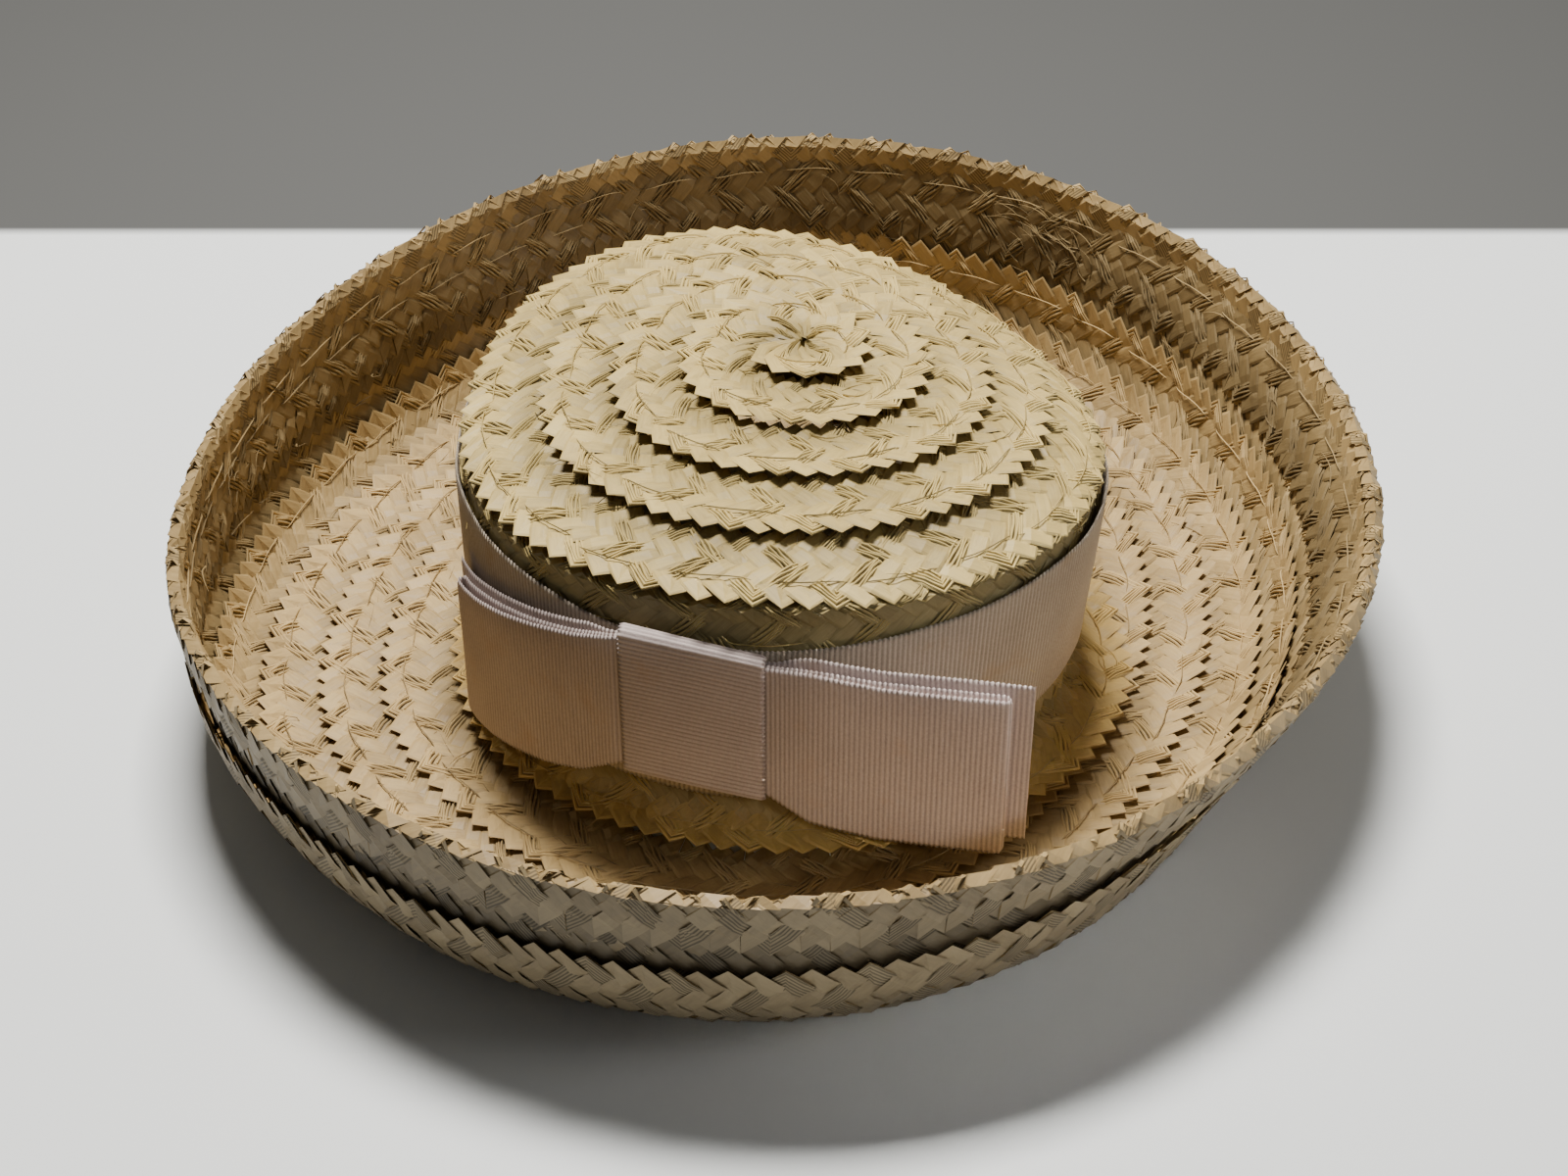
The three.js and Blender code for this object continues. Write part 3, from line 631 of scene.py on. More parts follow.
def stitch_rows():
    """A thread along the row: its ends go in and its middle lies on top."""
    rows = []
    for part in np.linspace(0.0, 1.0, STITCH_STEPS):
        lift = STITCH_ARCH * math.sin(math.pi * part) ** 0.35
        drift = STITCH_PLACE + 0.5 * math.sin(5.0 * part)
        taper = 1.0 if 0.0 < part < 1.0 else 0.2
        rows.append(thread_row(STITCH_LENGTH * part, drift, lift, taper))
    return rows


def curl_rows(length, middle, rise, bend, steps, width):
    """A fibre that has come loose: it rises, bends aside and thins out."""
    rows = []
    for part in np.linspace(0.0, 1.0, steps):
        lift = 0.3 + rise * part ** 1.6
        side = middle + bend * math.sin(3.2 * part)
        taper = width * (1.0 - 0.85 * part)
        rows.append(thread_row(length * part, side, lift, taper))
    return rows


# Stray fibres by length, place across the row, rise, bend, steps and thickness
stitch = strands_object("stitch", [stitch_rows()], [1.0])
stray = strands_object("stray", [curl_rows(STRAY_LENGTH, 14.0, 2.6, 1.6, 7, 1.5)], [1.0])
stray_pair = strands_object("stray_pair", [
    curl_rows(STRAY_LENGTH * 0.6, 13.0, 1.8, -1.4, 6, 1.6),
    curl_rows(STRAY_LENGTH * 0.8, 15.0, 1.2, 2.2, 6, 1.3),
], [1.0, 1.0])


def laid_threads(name, bed, pieces, spacing, spin, drift, finish, seed, start=0.0, end=0.0):
    """Threads spread along the coils of a bed, or from start to end."""
    guide, length = bed
    first, last = int(start / spacing) + 1, int((end or length) / spacing) - 2
    made_by(sewn_plait, name, guide, {
        "Flat straw": pieces[0], "Fibre bundle": pieces[1], "Run length": length * MM,
        "Spacing": spacing * MM, "Straws": last - first, "First straw": first,
        "Stretch": 1.0, "Wraps": 0.0, "Spin": spin, "Drift": drift * MM,
        "Unevenness": THREAD_UNEVENNESS * MM, "Seed": seed, "Straw finish": finish,
    })


def sewing_on(part, bed, finish, seed):
    """The stitches along a part's rows, then its stray fibres."""
    sewn = (stitch, stitch), STITCH_SPACING, STITCH_SKEW, STITCH_DRIFT
    loose = (stray, stray_pair), STRAY_SPACING, STRAY_SPIN, STRAY_DRIFT
    laid_threads(part + "_stitches", bed, *sewn, finish, seed)
    laid_threads(part + "_strays", bed, *loose, finish, seed + 1)


CROWN_FIRST, CROWN_LAST = 0.25, 9.75
# Coils between which the ribbon holds the rows down
HELD_COILS = (4.97, 5.03, 8.4, 8.9)
MIDDLE_HOLE = 1.2
TIP_STRAW_SHARE = 0.37
crown_coils = coil_stations(CROWN_FIRST, CROWN_LAST, crown_edge, crown_profile, MIDDLE_HOLE)
crown_steps = np.arange(CROWN_FIRST, CROWN_LAST, 1 / COIL_STEPS)
held_down = np.interp(crown_steps, HELD_COILS, (0.0, 1.0, 1.0, 0.0))
crown_lifts = ROW_LIFTS + (HELD_LIFTS - ROW_LIFTS) * held_down[:, None]
crown_bed = guide_surface("crown_coils", crown_coils, crown_lifts, False, ROW_SHADES)
crown_straws = int((crown_bed[1] - 2 * PLAIT_WIDTH) / TOOTH_PITCH)
tip_straws = int(crown_straws * TIP_STRAW_SHARE)
wall_straws = crown_straws - tip_straws
for piece in (
    sewn_piece("crown_tip_plait", crown_bed, 0, tip_straws, crown_straw, 3),
    sewn_piece("crown_wall_plait", crown_bed, tip_straws, wall_straws, crown_straw, 5),
):
    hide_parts("crown")
sewing_on("crown", crown_bed, crown_straw, 31)


# Brim
# The same plait goes on from the head opening outward, flat at first and then
# rolled up all round like a shallow bowl, each coil over the next.
RIM_REACH = 172.0
RIM_HEIGHT = 60.0
BRIM_THICKNESS = 2.2
BRIM_BEND_RADIUS = 24.7
UPRIGHT_TURN = 90.0
ROLL_STEPS = 80


def brim_profile(degrees):
    """Points from the crown out: flat, one bend, then straight to the rim."""
    foot = foot_radius(degrees)
    across = ring(OUTLINE[:, 2] * RIM_REACH, degrees) - foot
    rise = ring(OUTLINE[:, 3] * RIM_HEIGHT, degrees) - BRIM_THICKNESS / 2
    roll = math.radians(ring(OUTLINE[:, 5] * UPRIGHT_TURN, degrees))
    side = (rise - BRIM_BEND_RADIUS * (1 - math.cos(roll))) / math.sin(roll)
    flat = across - BRIM_BEND_RADIUS * math.sin(roll) - side * math.cos(roll)
    arc = np.linspace(0, flat + BRIM_BEND_RADIUS * roll + side, ROLL_STEPS)
    turned = np.clip((arc - flat) / BRIM_BEND_RADIUS, 0, roll)
    straight = np.maximum(0, arc - flat - BRIM_BEND_RADIUS * roll)
    out = foot + np.minimum(arc, flat) + BRIM_BEND_RADIUS * np.sin(turned) + straight * math.cos(roll)
    up = BRIM_THICKNESS / 2 + BRIM_BEND_RADIUS * (1 - np.cos(turned)) + straight * math.sin(roll)
    return around_crown(out, degrees, up)


BRIM_ROW_PITCH = 17.0
FIRST_ROW_BACK = 106.0
LAST_ROW_BACK = 3.0
RIM_REACHED = (FIRST_ROW_BACK - LAST_ROW_BACK) / BRIM_ROW_PITCH
RUN_ON = 0.93
BRIM_TURNS = RIM_REACHED + RUN_ON
BRIM_LEVEL = 0.5


def brim_edge(turns, run):
    """How far out on the brim's line the free edge of a coil lies."""
    back = FIRST_ROW_BACK - BRIM_ROW_PITCH * coil_turn(turns, BRIM_LEVEL)
    return run[-1] - max(back, LAST_ROW_BACK)


brim_straw = straw_finish(
    "brim_straw", dark=(0.185, 0.118, 0.046), middle=(0.440, 0.303, 0.128),
    light=(0.670, 0.474, 0.208), roughness=0.46,
    low_tint=(1.0, 1.0, 1.0), outward_shade_tint=(0.64, 0.72, 0.98),
)
brim_coils = coil_stations(0.0, BRIM_TURNS, brim_edge, brim_profile, 0.0)
# Near the rim the last row lies inside the one before it, from the back of the
# hat round to the back again, and both end flat under the rim's fold
brim_steps = np.arange(0.0, BRIM_TURNS, 1 / COIL_STEPS)
NEXT_TO_LAST = (4.45, 4.55, 5.45, 5.60)
covered_edge = np.interp(brim_steps, (5.45, 5.55, 6.45, 6.60), (-0.05, 1.4, 1.4, 2.0))
row_middle = np.interp(brim_steps, NEXT_TO_LAST, (0.05, -0.4, 0.0, 0.9))
free_edge = np.interp(brim_steps, NEXT_TO_LAST, (2.3, -1.6, -1.6, 0.3))
near_free = row_middle + (free_edge - row_middle) * 0.35
brim_lifts = np.column_stack([covered_edge, covered_edge * 0.9, row_middle, near_free, free_edge])
# The last row is painted darker all over, as shade: it lies inside the one before it, near the rim
last_row_shade = np.interp(brim_steps, (5.35, 5.6, 6.5, 6.7), (1.0, 0.60, 0.60, 1.0))
brim_shades = ROW_SHADES * last_row_shade[:, None]
brim_bed = guide_surface("brim_coils", brim_coils, brim_lifts, False, brim_shades)
brim_straws = int((brim_bed[1] - 2 * PLAIT_WIDTH) / TOOTH_PITCH)
# The three pieces of the spiral, by share of its straws and seed
BRIM_PIECES = (("inner", 0.0, 0.35, 11), ("middle", 0.35, 0.68, 12), ("outer", 0.68, 1.0, 13))
for name, start, end, seed in BRIM_PIECES:
    first, last = int(start * brim_straws), int(end * brim_straws)
    piece = sewn_piece("brim_" + name + "_plait", brim_bed, first, last - first, brim_straw, seed)
    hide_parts("brim")
sewing_on("brim", brim_bed, brim_straw, 33)

# Frayed ends where the last row stops behind and where a straw was let in, by
# coil, length along the row and seed
TUFTS = (("behind", 6.41, 26.0, 35), ("left", 5.73, 18.0, 36))
TUFT_SPACING = 0.9
TUFT_SPIN = 1.2
TUFT_DRIFT = 6.0
brim_run = arcs(brim_coils[:, int(PLAIT_POINTS * RUN_AT)])
for name, turns, wide, seed in TUFTS:
    at = brim_run[round(turns * COIL_STEPS)]
    laid_threads(
        "brim_tuft_" + name, brim_bed, (stray, stray_pair), TUFT_SPACING, TUFT_SPIN, TUFT_DRIFT,
        brim_straw, seed, at - wide / 2, at + wide / 2,
    )


# Rim
# A last length of plait is folded over the brim's edge and sewn through, with
# a long leg inside and a short one outside. The fold puckers at each tooth.
RIM_BEND = 2.0
RIM_OUTER_LEG = 9.0
RIM_PUCKER = 1.4
PUCKER_WIDTH = 3.2
RIM_STEP = 0.25
RIM_POINTS = 25
# Lift off the fold's line, and share of light colour, from inside to outside; the lower shares paint
# shade along the inner leg and over the fold
RIM_LIFTS = (0.5, 0.2, 0.0, 0.3, 1.7)
RIM_SHADES = (0.70, 0.80, 0.84, 0.84, 0.80, 0.95, 1.0, 1.0)


def rim_stations():
    """The plait's width, up the inside of the rim, over it and down outside."""
    bend_run = math.pi * RIM_BEND
    leg = PLAIT_SPAN - bend_run - RIM_OUTER_LEG
    across = np.linspace(0, PLAIT_SPAN, RIM_POINTS)
    rows, ways = [], []
    for degrees in np.arange(0.0, 360.0, RIM_STEP):
        line = brim_profile(degrees)
        way = (line[-1] - line[-3]) / np.linalg.norm(line[-1] - line[-3])
        around = np.array([math.sin(math.radians(degrees)), -math.cos(math.radians(degrees)), 0.0])
        side = np.cross(around, way)
        side /= np.linalg.norm(side)
        middle = line[-1] - way * RIM_BEND
        points = []
        for a in across:
            turn = min(max((a - leg) / RIM_BEND, 0.0), math.pi)
            down = max(leg - a, a - leg - bend_run, 0.0)
            over = -side * math.cos(turn) + way * math.sin(turn)
            points.append(middle + over * RIM_BEND - way * down)
        rows.append(points)
        ways.append(way)
    rows, ways = np.array(rows), np.array(ways)
    outer = int(RIM_POINTS * RUN_AT)
    along = arcs(np.vstack([rows[:, outer], rows[:1, outer]]))
    teeth = PLAIT_ENDS * round(along[-1] / TOOTH_PITCH / PLAIT_ENDS)
    peak = 1 - 4 * np.abs(along[:-1] / along[-1] * teeth % 1.0 - 0.5)
    near_fold = np.exp(-((across - leg - bend_run / 2) / PUCKER_WIDTH) ** 2)
    return rows + RIM_PUCKER * ways[:, None, :] * (peak[:, None] * near_fold)[:, :, None]


rim_bed = guide_surface("rim_coil", rim_stations(), RIM_LIFTS, True, RIM_SHADES)
rim_straws = PLAIT_ENDS * round(rim_bed[1] / TOOTH_PITCH / PLAIT_ENDS)
rim_stretch = rim_bed[1] / (rim_straws * TOOTH_PITCH)
rim_braid = sewn_piece("rim_plait", rim_bed, 0, rim_straws, brim_straw, 21, rim_stretch, 1.0)
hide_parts("rim_braid")


# Hat band
# A ribbed ribbon of cotton and silk is wound once round the crown's wall, its
# ends under the bow. Its ribs run from edge to edge and scallop both selvedges.
GAP = 0.3
RIBBON_THICKNESS = 0.8
BAND_WIDTH = 48.0
BAND_STEP = 2.5
RIBBON_POINTS = 9
RIB_PITCH = 1.3
RIB_HEIGHT = 0.30
RIB_COLUMNS = 4
RIBBON_ROWS = 13
RIBS_SHARE = 0.45
EDGE_SCALLOP = 0.45
RIBBON_UNEVENNESS = 1.2
# Top edge by direction every 22.5 degrees from +X, as shares of the edge height
BAND_TOP = np.array([
    0.91, 0.88, 0.87, 0.88, 0.90, 0.92, 0.92, 0.92,
    0.93, 0.94, 0.93, 0.87, 0.85, 0.89, 0.93, 0.93,
])


def ribbon_tree():
    """A closed ribbed strip, both faces and both selvedges, on a guide surface."""
    tree = new_tree("ribbed_ribbon", (
        ("Columns", "Int"), ("Rows", "Int"), ("Ribs", "Float"), ("Rib height", "Float"),
        ("Thickness", "Float"), ("Width", "Float"), ("Edge scallop", "Float"),
        ("Open ends", "Float"), ("Unevenness", "Float"), ("Ribbon finish", "Material"),
    ))
    w = Wiring(tree)
    given = w.add("NodeGroupInput").outputs
    grid = w.add("GeometryNodeMeshGrid", {
        "Size X": 1.0, "Size Y": 1.0, "Vertices X": given["Columns"], "Vertices Y": given["Rows"],
    }).outputs["Mesh"]
    parts = w.parts(w.add("GeometryNodeInputPosition").outputs[0])
    u = w.math("ADD", parts[0], 0.5)
    around = w.math("ADD", parts[1], 0.5)
    fold = w.rest(w.math("ABSOLUTE", w.times_plus(around, 2.0, -1.0)))
    wave = w.math("COSINE", w.times(fold, math.pi))
    spaced = w.times(w.math("SIGN", wave), w.math("SQRT", w.math("ABSOLUTE", wave)))
    v = w.times_plus(spaced, -0.5, 0.5)
    inside = w.times(v, w.rest(v))
    inside = w.math("MINIMUM", w.times(inside, 1000.0), 1.0)
    face = w.times(w.math("SIGN", w.math("SUBTRACT", 0.5, around)), inside)
    rib = w.math("COSINE", w.times(w.times(u, given["Ribs"]), 2 * math.pi))
    rib = w.times_plus(rib, 0.5, 0.5)
    to_end = w.times(w.math("MINIMUM", u, w.rest(u)), given["Columns"])
    cut = w.rest(w.math("MINIMUM", to_end, 1.0))
    cut = w.times(cut, given["Open ends"])
    half = w.times_plus(rib, given["Rib height"], w.times(given["Thickness"], 0.5))
    lift = w.times(w.times(face, half), w.rest(cut))
    groove = w.times(w.rest(rib), w.rest(inside))
    inset = w.math("DIVIDE", w.times(groove, given["Edge scallop"]), given["Width"])
    centred = w.math("SUBTRACT", v, 0.5)
    v = w.math("SUBTRACT", v, w.times(w.times(centred, 2.0), inset))
    v = w.clamped(v, 0.0005)
    along = w.clamped(u, 0.00001)
    place = w.laid_on(given["Geometry"], along, v, 0.0)
    sway = w.math("SUBTRACT", w.noise(place, 42.0, 1.0)["Fac"], 0.5)
    sway = w.times(sway, given["Unevenness"])
    place = w.laid_on(given["Geometry"], along, v, w.math("ADD", lift, sway))
    down = w.times(v, given["Width"])
    cloth = w.xyz(u, down, rib)
    marked = w.kept(grid, "cloth_run", cloth, "FLOAT_VECTOR")
    laid = w.add("GeometryNodeSetPosition", {"Geometry": marked, "Position": place}).outputs[0]
    closed = w.add("GeometryNodeMergeByDistance", {"Geometry": laid, "Distance": 0.00003}).outputs[0]
    smooth = w.add("GeometryNodeSetShadeSmooth", {"Geometry": closed}).outputs[0]
    real = w.add("GeometryNodeRealizeInstances", {"Geometry": smooth}).outputs[0]
    done = w.add("GeometryNodeSetMaterial", {"Geometry": real, "Material": given["Ribbon finish"]})
    w.add("NodeGroupOutput", {0: done.outputs[0]})
    return tree


def ribbon_finish(name, groove, ridge, stain, stained, right_end_light):
    """Cotton and silk ribbon: dull ribs, grooves painted darker as shade, stains and painted light at
    the right end.
    """
    material, w, shader = new_finish(name, {
        "Roughness": 0.62, "Sheen Weight": 0.12, "Sheen Roughness": 0.4, "Specular IOR Level": 0.22,
    })
    cloth = w.add("ShaderNodeAttribute", attribute_name="cloth_run").outputs["Vector"]
    rib = w.parts(cloth)[2]
    at = w.add("ShaderNodeTexCoord").outputs["Object"]
    thread = w.noise(at, 1500.0, 2.0)["Fac"]
    fade = w.noise(at, 30.0, 4.0)["Fac"]
    blot = w.noise(at, 55.0, 5.0, 0.6)["Fac"]
    # Painted shade: the groove colour darkens the hollows between ribs
    depth = w.times_plus(thread, 0.45, w.times_plus(rib, 0.55, -0.05))
    depth = w.times_plus(w.math("SUBTRACT", fade, 0.5), 0.6, depth)
    base = w.ramp(depth, (0.0, groove), (1.0, ridge))
    colour = w.mixed(w.ranged(blot, 0.56, 0.70, 0.0, stained), base, stain)
    # Painted light: the ribbon's colour brightens from left to right, by right_end_light at the right
    # end
    side = w.parts(at)[0]
    end_light = w.ranged(side, -0.005, 0.055, 0.90, right_end_light)
    w.link(w.vector("SCALE", colour, end_light), shader, "Base Color")
    bump = w.add("ShaderNodeBump", {"Height": thread, "Strength": 0.4, "Distance": 0.0003}).outputs[0]
    w.link(bump, shader, "Normal")
    return material


ribbed_ribbon = ribbon_tree()


def ribbon_piece(name, stations, width, closed, finish, node):
    """A length of ribbon on its line, at the width it was cut to."""
    guide, length = guide_surface(name + "_line", stations, (0.0, 0.0), closed)
    ribs = round(length / RIB_PITCH)
    piece = made_by(ribbed_ribbon, name, guide, {
        "Columns": ribs * RIB_COLUMNS + 1, "Rows": RIBBON_ROWS, "Ribs": float(ribs),
        "Rib height": RIB_HEIGHT * MM, "Thickness": (RIBBON_THICKNESS - RIBS_SHARE) * MM,
        "Width": width * MM, "Edge scallop": EDGE_SCALLOP * MM, "Open ends": 0.0 if closed else 1.0,
        "Unevenness": RIBBON_UNEVENNESS * MM, "Ribbon finish": finish,
    })
    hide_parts(node)


def band_stations():
    """Points round the crown's wall, each row from the band's top edge down."""
    falls = np.linspace(0, 1, RIBBON_POINTS) * BAND_WIDTH
    rows = []
    for degrees in np.arange(0.0, 360.0, BAND_STEP):
        z = ring(BAND_TOP * EDGE_HEIGHT, degrees) - falls
        radius = wall_radius(degrees, z) + GAP + RIBBON_THICKNESS / 2
        rows.append(around_crown(radius, degrees, z))
    return np.array(rows)


# The band is darker and yellower than the bow's ribbon: partly its own wear and dirt, partly painted
# shade for the shadow it lies in
band_ribbon = ribbon_finish(
    "band_ribbon", groove=(0.23, 0.185, 0.142), ridge=(0.62, 0.530, 0.420),
    stain=(0.38, 0.27, 0.16), stained=0.5, right_end_light=1.0,
)
ribbon_piece(
    "hat_band_ribbon", band_stations(), BAND_WIDTH, True, band_ribbon, "hat_band",
)


# Bow back strip
# A straight length of the same ribbon lies behind the loops, sewn to the band
# under the knot, and shows past their ends.
KNOT_ANGLE = 257.5
BOW_TURN = math.radians(-7.0)
KNOT_WIDTH = 36.0
KNOT_CENTRE_HEIGHT = 44.0
KNOT_EDGE = KNOT_WIDTH / 2 + 1
BOW_RIBBON_WIDTH = 49.0
BOW_CUT_WIDTH = 46.0
SETTLE_REACH = 14.0
WALK_STEP = 0.25
STRIP_OFF = 3.0
STRIP_LIFT = {-1: 2.0, 1: 2.5}
STRIP_LENGTH = {-1: 86.0, 1: 83.0}
LOOP_LENGTH = {-1: 80.0, 1: 76.0}
# Columns by distance from the knot: share of the loop's length, height of the
# ribbon's middle as a share of the knot's, and width as a share of the ribbon's
BOW_RUN = {
    1: np.array([
        (0.00, 1.000, 0.837), (0.24, 0.918, 0.837), (0.38, 0.832, 0.980),
        (0.60, 0.773, 1.000), (1.15, 0.741, 1.000),
    ]),
    -1: np.array([
        (0.00, 1.000, 0.837), (0.23, 1.077, 0.816), (0.38, 0.932, 0.898),
        (0.55, 0.841, 0.918), (0.95, 0.682, 0.898), (1.15, 0.648, 0.878),
    ]),
}


def outline_point(degrees, off):
    """A point of the crown's edge in plan, moved out by off, and its outward."""
    places = []
    for turn in (degrees - 0.5, degrees, degrees + 0.5):
        way = np.array([math.cos(math.radians(turn)), math.sin(math.radians(turn))])
        places.append(CROWN_CENTRE + crown_radius(turn) * way)
    along = places[2] - places[0]
    outward = np.array([along[1], -along[0]]) / np.linalg.norm(along)
    return places[1] + outward * off, outward


BOW_ALONG = np.array([math.cos(BOW_TURN), math.sin(BOW_TURN)])
BOW_OUTWARD = np.array([math.sin(BOW_TURN), -math.cos(BOW_TURN)])
bow_middle = outline_point(KNOT_ANGLE, 0.0)[0]


def wrapped_point(reach, off):
    """A point walked round the crown from the bow's middle to the left."""
    degrees, walked = KNOT_ANGLE, 0.0
    here = outline_point(degrees, off)
    while walked < reach:
        degrees -= WALK_STEP
        further = outline_point(degrees, off)
        walked += np.linalg.norm(further[0] - here[0])
        here = further
    return here


def bow_point(side, reach, off):
    """The bow's line: straight to the right, round the crown to the left."""
    if side > 0 or reach <= KNOT_EDGE:
        return bow_middle + BOW_ALONG * side * reach + BOW_OUTWARD * off, BOW_OUTWARD
    wall, outward = wrapped_point(KNOT_EDGE, 0.0)
    stand = np.dot(bow_middle - BOW_ALONG * KNOT_EDGE - wall, outward)
    return wrapped_point(reach, off + stand * math.exp(-(reach - KNOT_EDGE) / SETTLE_REACH))


def bow_station(side, reach, off, rise):
    """Place, outward, lower and upper edge of the bow's ribbon at a reach."""
    share, heights, widths = BOW_RUN[side].T
    part = reach / LOOP_LENGTH[side]
    middle = np.interp(part, share, heights) * KNOT_CENTRE_HEIGHT + rise
    half = np.interp(part, share, widths) * BOW_RIBBON_WIDTH / 2
    place, outward = bow_point(side, reach, off)
    return place, outward, middle - half, middle + half


def upright_rows(stations):
    """Points from the upper edge of the ribbon to its lower edge."""
    return np.array([
        [(place[0], place[1], z) for z in np.linspace(high, low, RIBBON_POINTS)]
        for place, _, low, high in stations
    ])


STRIP_STEPS = 30
LIFT_RUN = 8


def strip_stations():
    left = -np.linspace(STRIP_LENGTH[-1], 0, STRIP_STEPS)
    right = np.linspace(0, STRIP_LENGTH[1], STRIP_STEPS)[1:]
    stations = []
    for reach in np.concatenate([left, right]):
        side = -1 if reach < 0 else 1
        rise = np.interp(abs(reach), (KNOT_EDGE, KNOT_EDGE + LIFT_RUN), (0, STRIP_LIFT[side]))
        stations.append(bow_station(side, abs(reach), STRIP_OFF, rise))
    return upright_rows(stations)


bow_ribbon = ribbon_finish(
    "bow_ribbon", groove=(0.27, 0.215, 0.200), ridge=(0.67, 0.560, 0.520),
    stain=(0.45, 0.30, 0.20), stained=0.4, right_end_light=1.36,
)
ribbon_piece(
    "bow_back_ribbon", strip_stations(), BOW_CUT_WIDTH, False, bow_ribbon, "bow_back_strip",
)


# Bow loops
# Each loop is the same ribbon folded back on itself and pressed flat, with a
# narrow opening at its fold and both raw ends under the knot.
LOOP_BACK_OFF = 4.1
LOOP_FRONT_OFF = 5.2
LOOP_OPENING = {-1: 1.2, 1: 1.6}
LOOP_START = 2.0
LOOP_STEPS = 40
FOLD_STEPS = 9


def loop_stations(side):
    """Out along the loop's front, round its fold and back behind."""
    length = LOOP_LENGTH[side]
    opening = LOOP_OPENING[side]
    reaches = np.linspace(LOOP_START, length, LOOP_STEPS)
    stations = []
    for reach in reaches:
        part = max(0.0, reach - KNOT_WIDTH / 2) / (length - KNOT_WIDTH / 2)
        off = LOOP_FRONT_OFF + opening * math.sin(min(1.0, part * 1.3) * math.pi / 2)
        stations.append(bow_station(side, reach, off, 0.0))
    half = (LOOP_FRONT_OFF - LOOP_BACK_OFF + opening) / 2
    for turn in np.linspace(0, math.pi, FOLD_STEPS)[1:-1]:
        reach = length + half * math.sin(turn)
        place, outward, low, high = bow_station(side, reach, LOOP_BACK_OFF + half, 0.0)
        stations.append((place + outward * half * math.cos(turn), outward, low, high))
    for reach in reaches[::-1]:
        stations.append(bow_station(side, reach, LOOP_BACK_OFF, 0.0))
    return upright_rows(stations)


for side, name in ((-1, "left"), (1, "right")):
    ribbon_piece(
        "bow_" + name + "_ribbon", loop_stations(side), BOW_CUT_WIDTH, False, bow_ribbon,
        "bow_" + name + "_loop",
    )


# Knot
# A short length of the ribbon wraps the bow's middle upright, so its ribs lie
# level, and is sewn shut behind.
KNOT_HEIGHT = 44.0
KNOT_SLOPE = 0.19
KNOT_BACK_OFF = 1.5
KNOT_FRONT_OFF = 5.9
KNOT_CORNER = 1.3
KNOT_STEPS = 12
CORNER_STEPS = 5


def knot_stations():
    """Round the knot: up its front, over the top, down behind and under."""
    front = KNOT_FRONT_OFF - KNOT_CORNER + RIBBON_THICKNESS / 2
    back = KNOT_BACK_OFF + KNOT_CORNER + RIBBON_THICKNESS / 2
    tall = KNOT_HEIGHT / 2 - RIBBON_THICKNESS / 2 - KNOT_CORNER
    corners = ((front, -tall, -90), (front, tall, 0), (back, tall, 90), (back, -tall, 180))
    path = []
    for k, (out, up, first) in enumerate(corners):
        for turn in np.radians(np.linspace(first, first + 90, CORNER_STEPS)):
            path.append((out + KNOT_CORNER * math.cos(turn), up + KNOT_CORNER * math.sin(turn)))
        if k % 2 == 0:
            start = np.array(path[-1])
            end = np.array([corners[k + 1][0] + KNOT_CORNER * (1 - k), corners[k + 1][1]])
            for part in np.linspace(0, 1, KNOT_STEPS)[1:-1]:
                path.append(tuple(start + (end - start) * part))
    rows = []
    for out, up in path:
        points = []
        for along in np.linspace(-KNOT_WIDTH / 2, KNOT_WIDTH / 2, RIBBON_POINTS):
            place = bow_middle + BOW_ALONG * along + BOW_OUTWARD * out
            points.append((place[0], place[1], KNOT_CENTRE_HEIGHT + up - KNOT_SLOPE * along))
        rows.append(points)
    return np.array(rows)


ribbon_piece(
    "bow_knot_ribbon", knot_stations(), KNOT_WIDTH, True, bow_ribbon, "bow_knot",
)


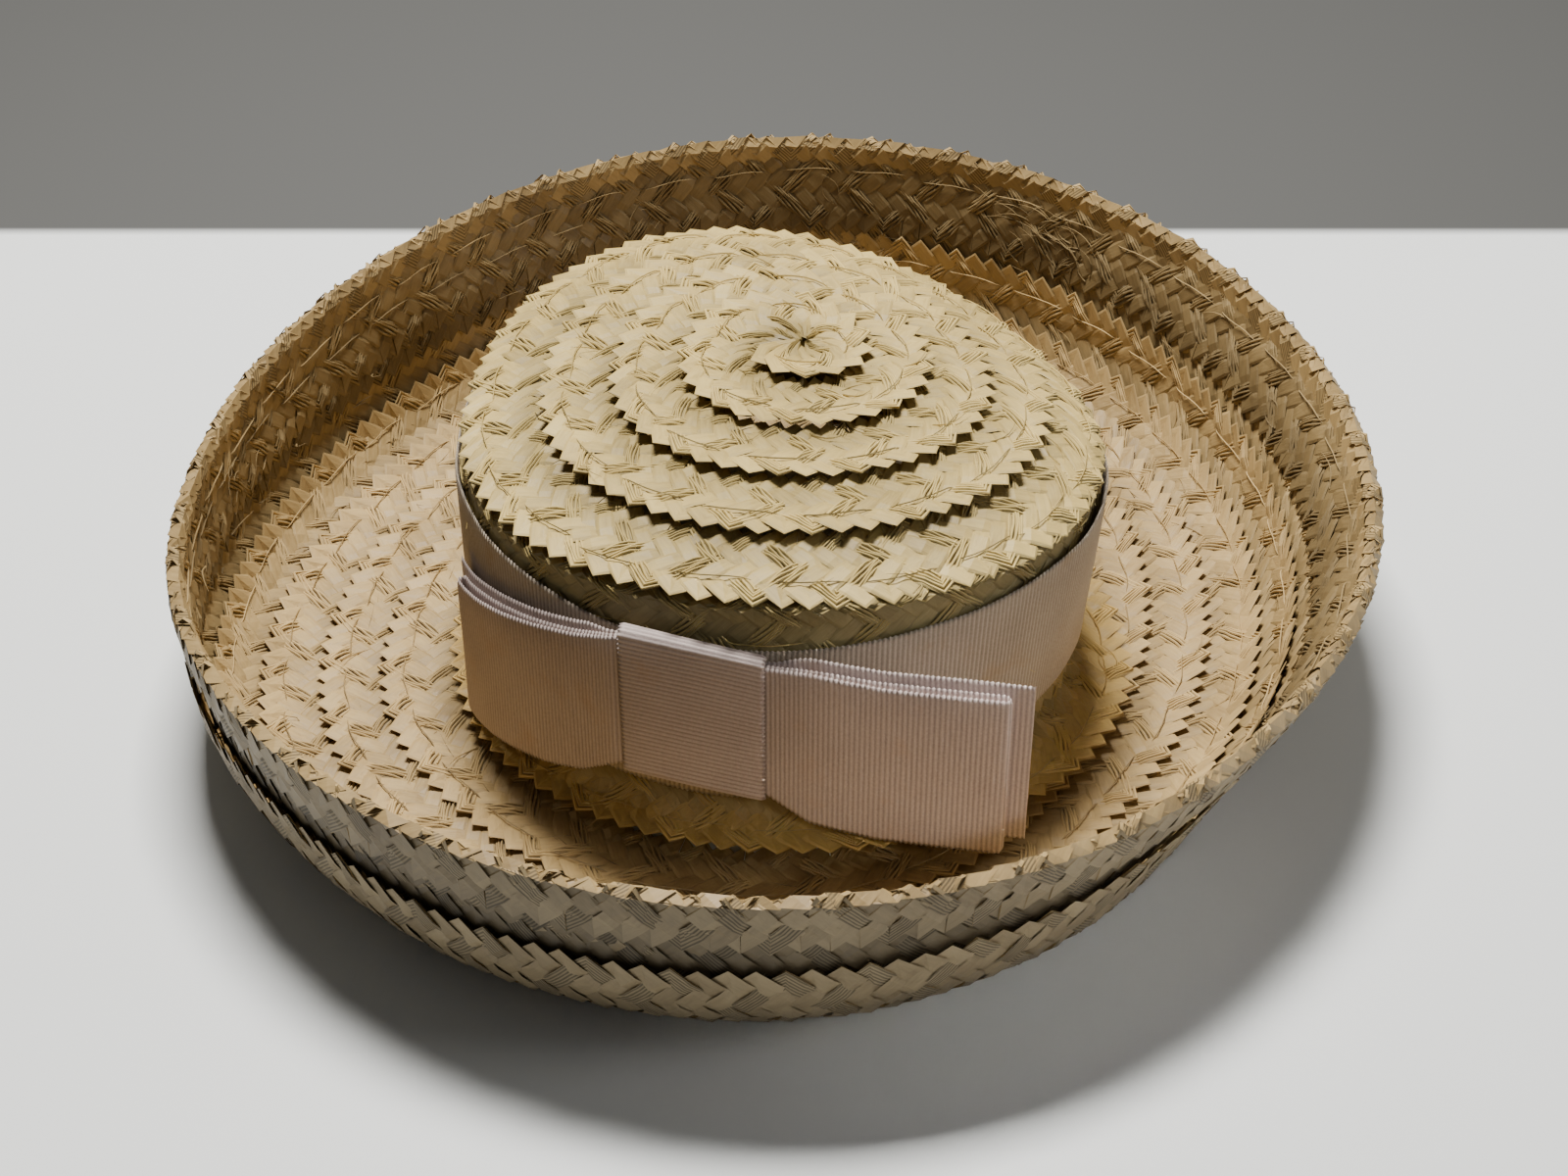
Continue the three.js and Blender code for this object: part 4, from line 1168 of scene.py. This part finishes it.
# Floor and light
# A pale table that ends at a grey wall behind the hat. A wide lamp hangs above
# and behind, a weak one stands at the right, and a small one lights the bow.
TABLE_COLOUR = (0.78, 0.805, 0.81)
WALL_COLOUR = (0.067, 0.068, 0.066)
TABLE_ROUGHNESS = 0.6
TABLE_END = (0.232, 0.238)
FLOOR_REACH = 4
ROOM_COLOUR = (0.86, 0.88, 0.90, 1.0)
ROOM_STRENGTH = 0.085


def stage_finish():
    material, w, shader = new_finish("table_top", {"Roughness": TABLE_ROUGHNESS})
    at = w.add("ShaderNodeTexCoord").outputs["Object"]
    y = w.parts(at)[1]
    colour = w.ramp(w.ranged(y, *TABLE_END), (0.0, TABLE_COLOUR), (1.0, WALL_COLOUR))
    w.link(colour, shader, "Base Color")
    return material


floor_mesh = bpy.data.meshes.new("floor")
corners = [(x * FLOOR_REACH, y * FLOOR_REACH, 0) for x, y in ((-1, -1), (1, -1), (1, 1), (-1, 1))]
floor_mesh.from_pydata(corners, [], [(0, 1, 2, 3)])
floor = bpy.data.objects.new("floor", floor_mesh)
floor.data.materials.append(stage_finish())
bpy.context.scene.collection.objects.link(floor)

world = bpy.data.worlds.new("room")
world.use_nodes = True
world.node_tree.nodes["Background"].inputs[0].default_value = ROOM_COLOUR
world.node_tree.nodes["Background"].inputs[1].default_value = ROOM_STRENGTH
bpy.context.scene.world = world


def panel(name, place, size, power, colour, aim=(0, 0, 0.03), spread=180.0):
    data = bpy.data.lights.new(name, "AREA")
    data.shape = "RECTANGLE"
    data.size, data.size_y = size
    data.energy = power
    data.color = colour
    data.spread = math.radians(spread)
    lamp = bpy.data.objects.new(name, data)
    lamp.location = place
    lamp.rotation_euler = (Vector(aim) - Vector(place)).to_track_quat("-Z", "Y").to_euler()
    bpy.context.scene.collection.objects.link(lamp)


panel("back_lamps", place=(-0.10, 0.48, 1.32), size=(0.50, 0.30), power=48.0, colour=(1.0, 0.97, 0.92))
panel("side_right", place=(1.15, -0.22, 0.42), size=(0.4, 0.4), power=3.6, colour=(1.0, 0.98, 0.95))
panel(
    "bow_card", place=(0.40, -0.75, 0.62), size=(0.12, 0.12), power=0.012, colour=(1.0, 0.98, 0.95),
    aim=(0.045, -0.115, 0.036), spread=8.0,
)
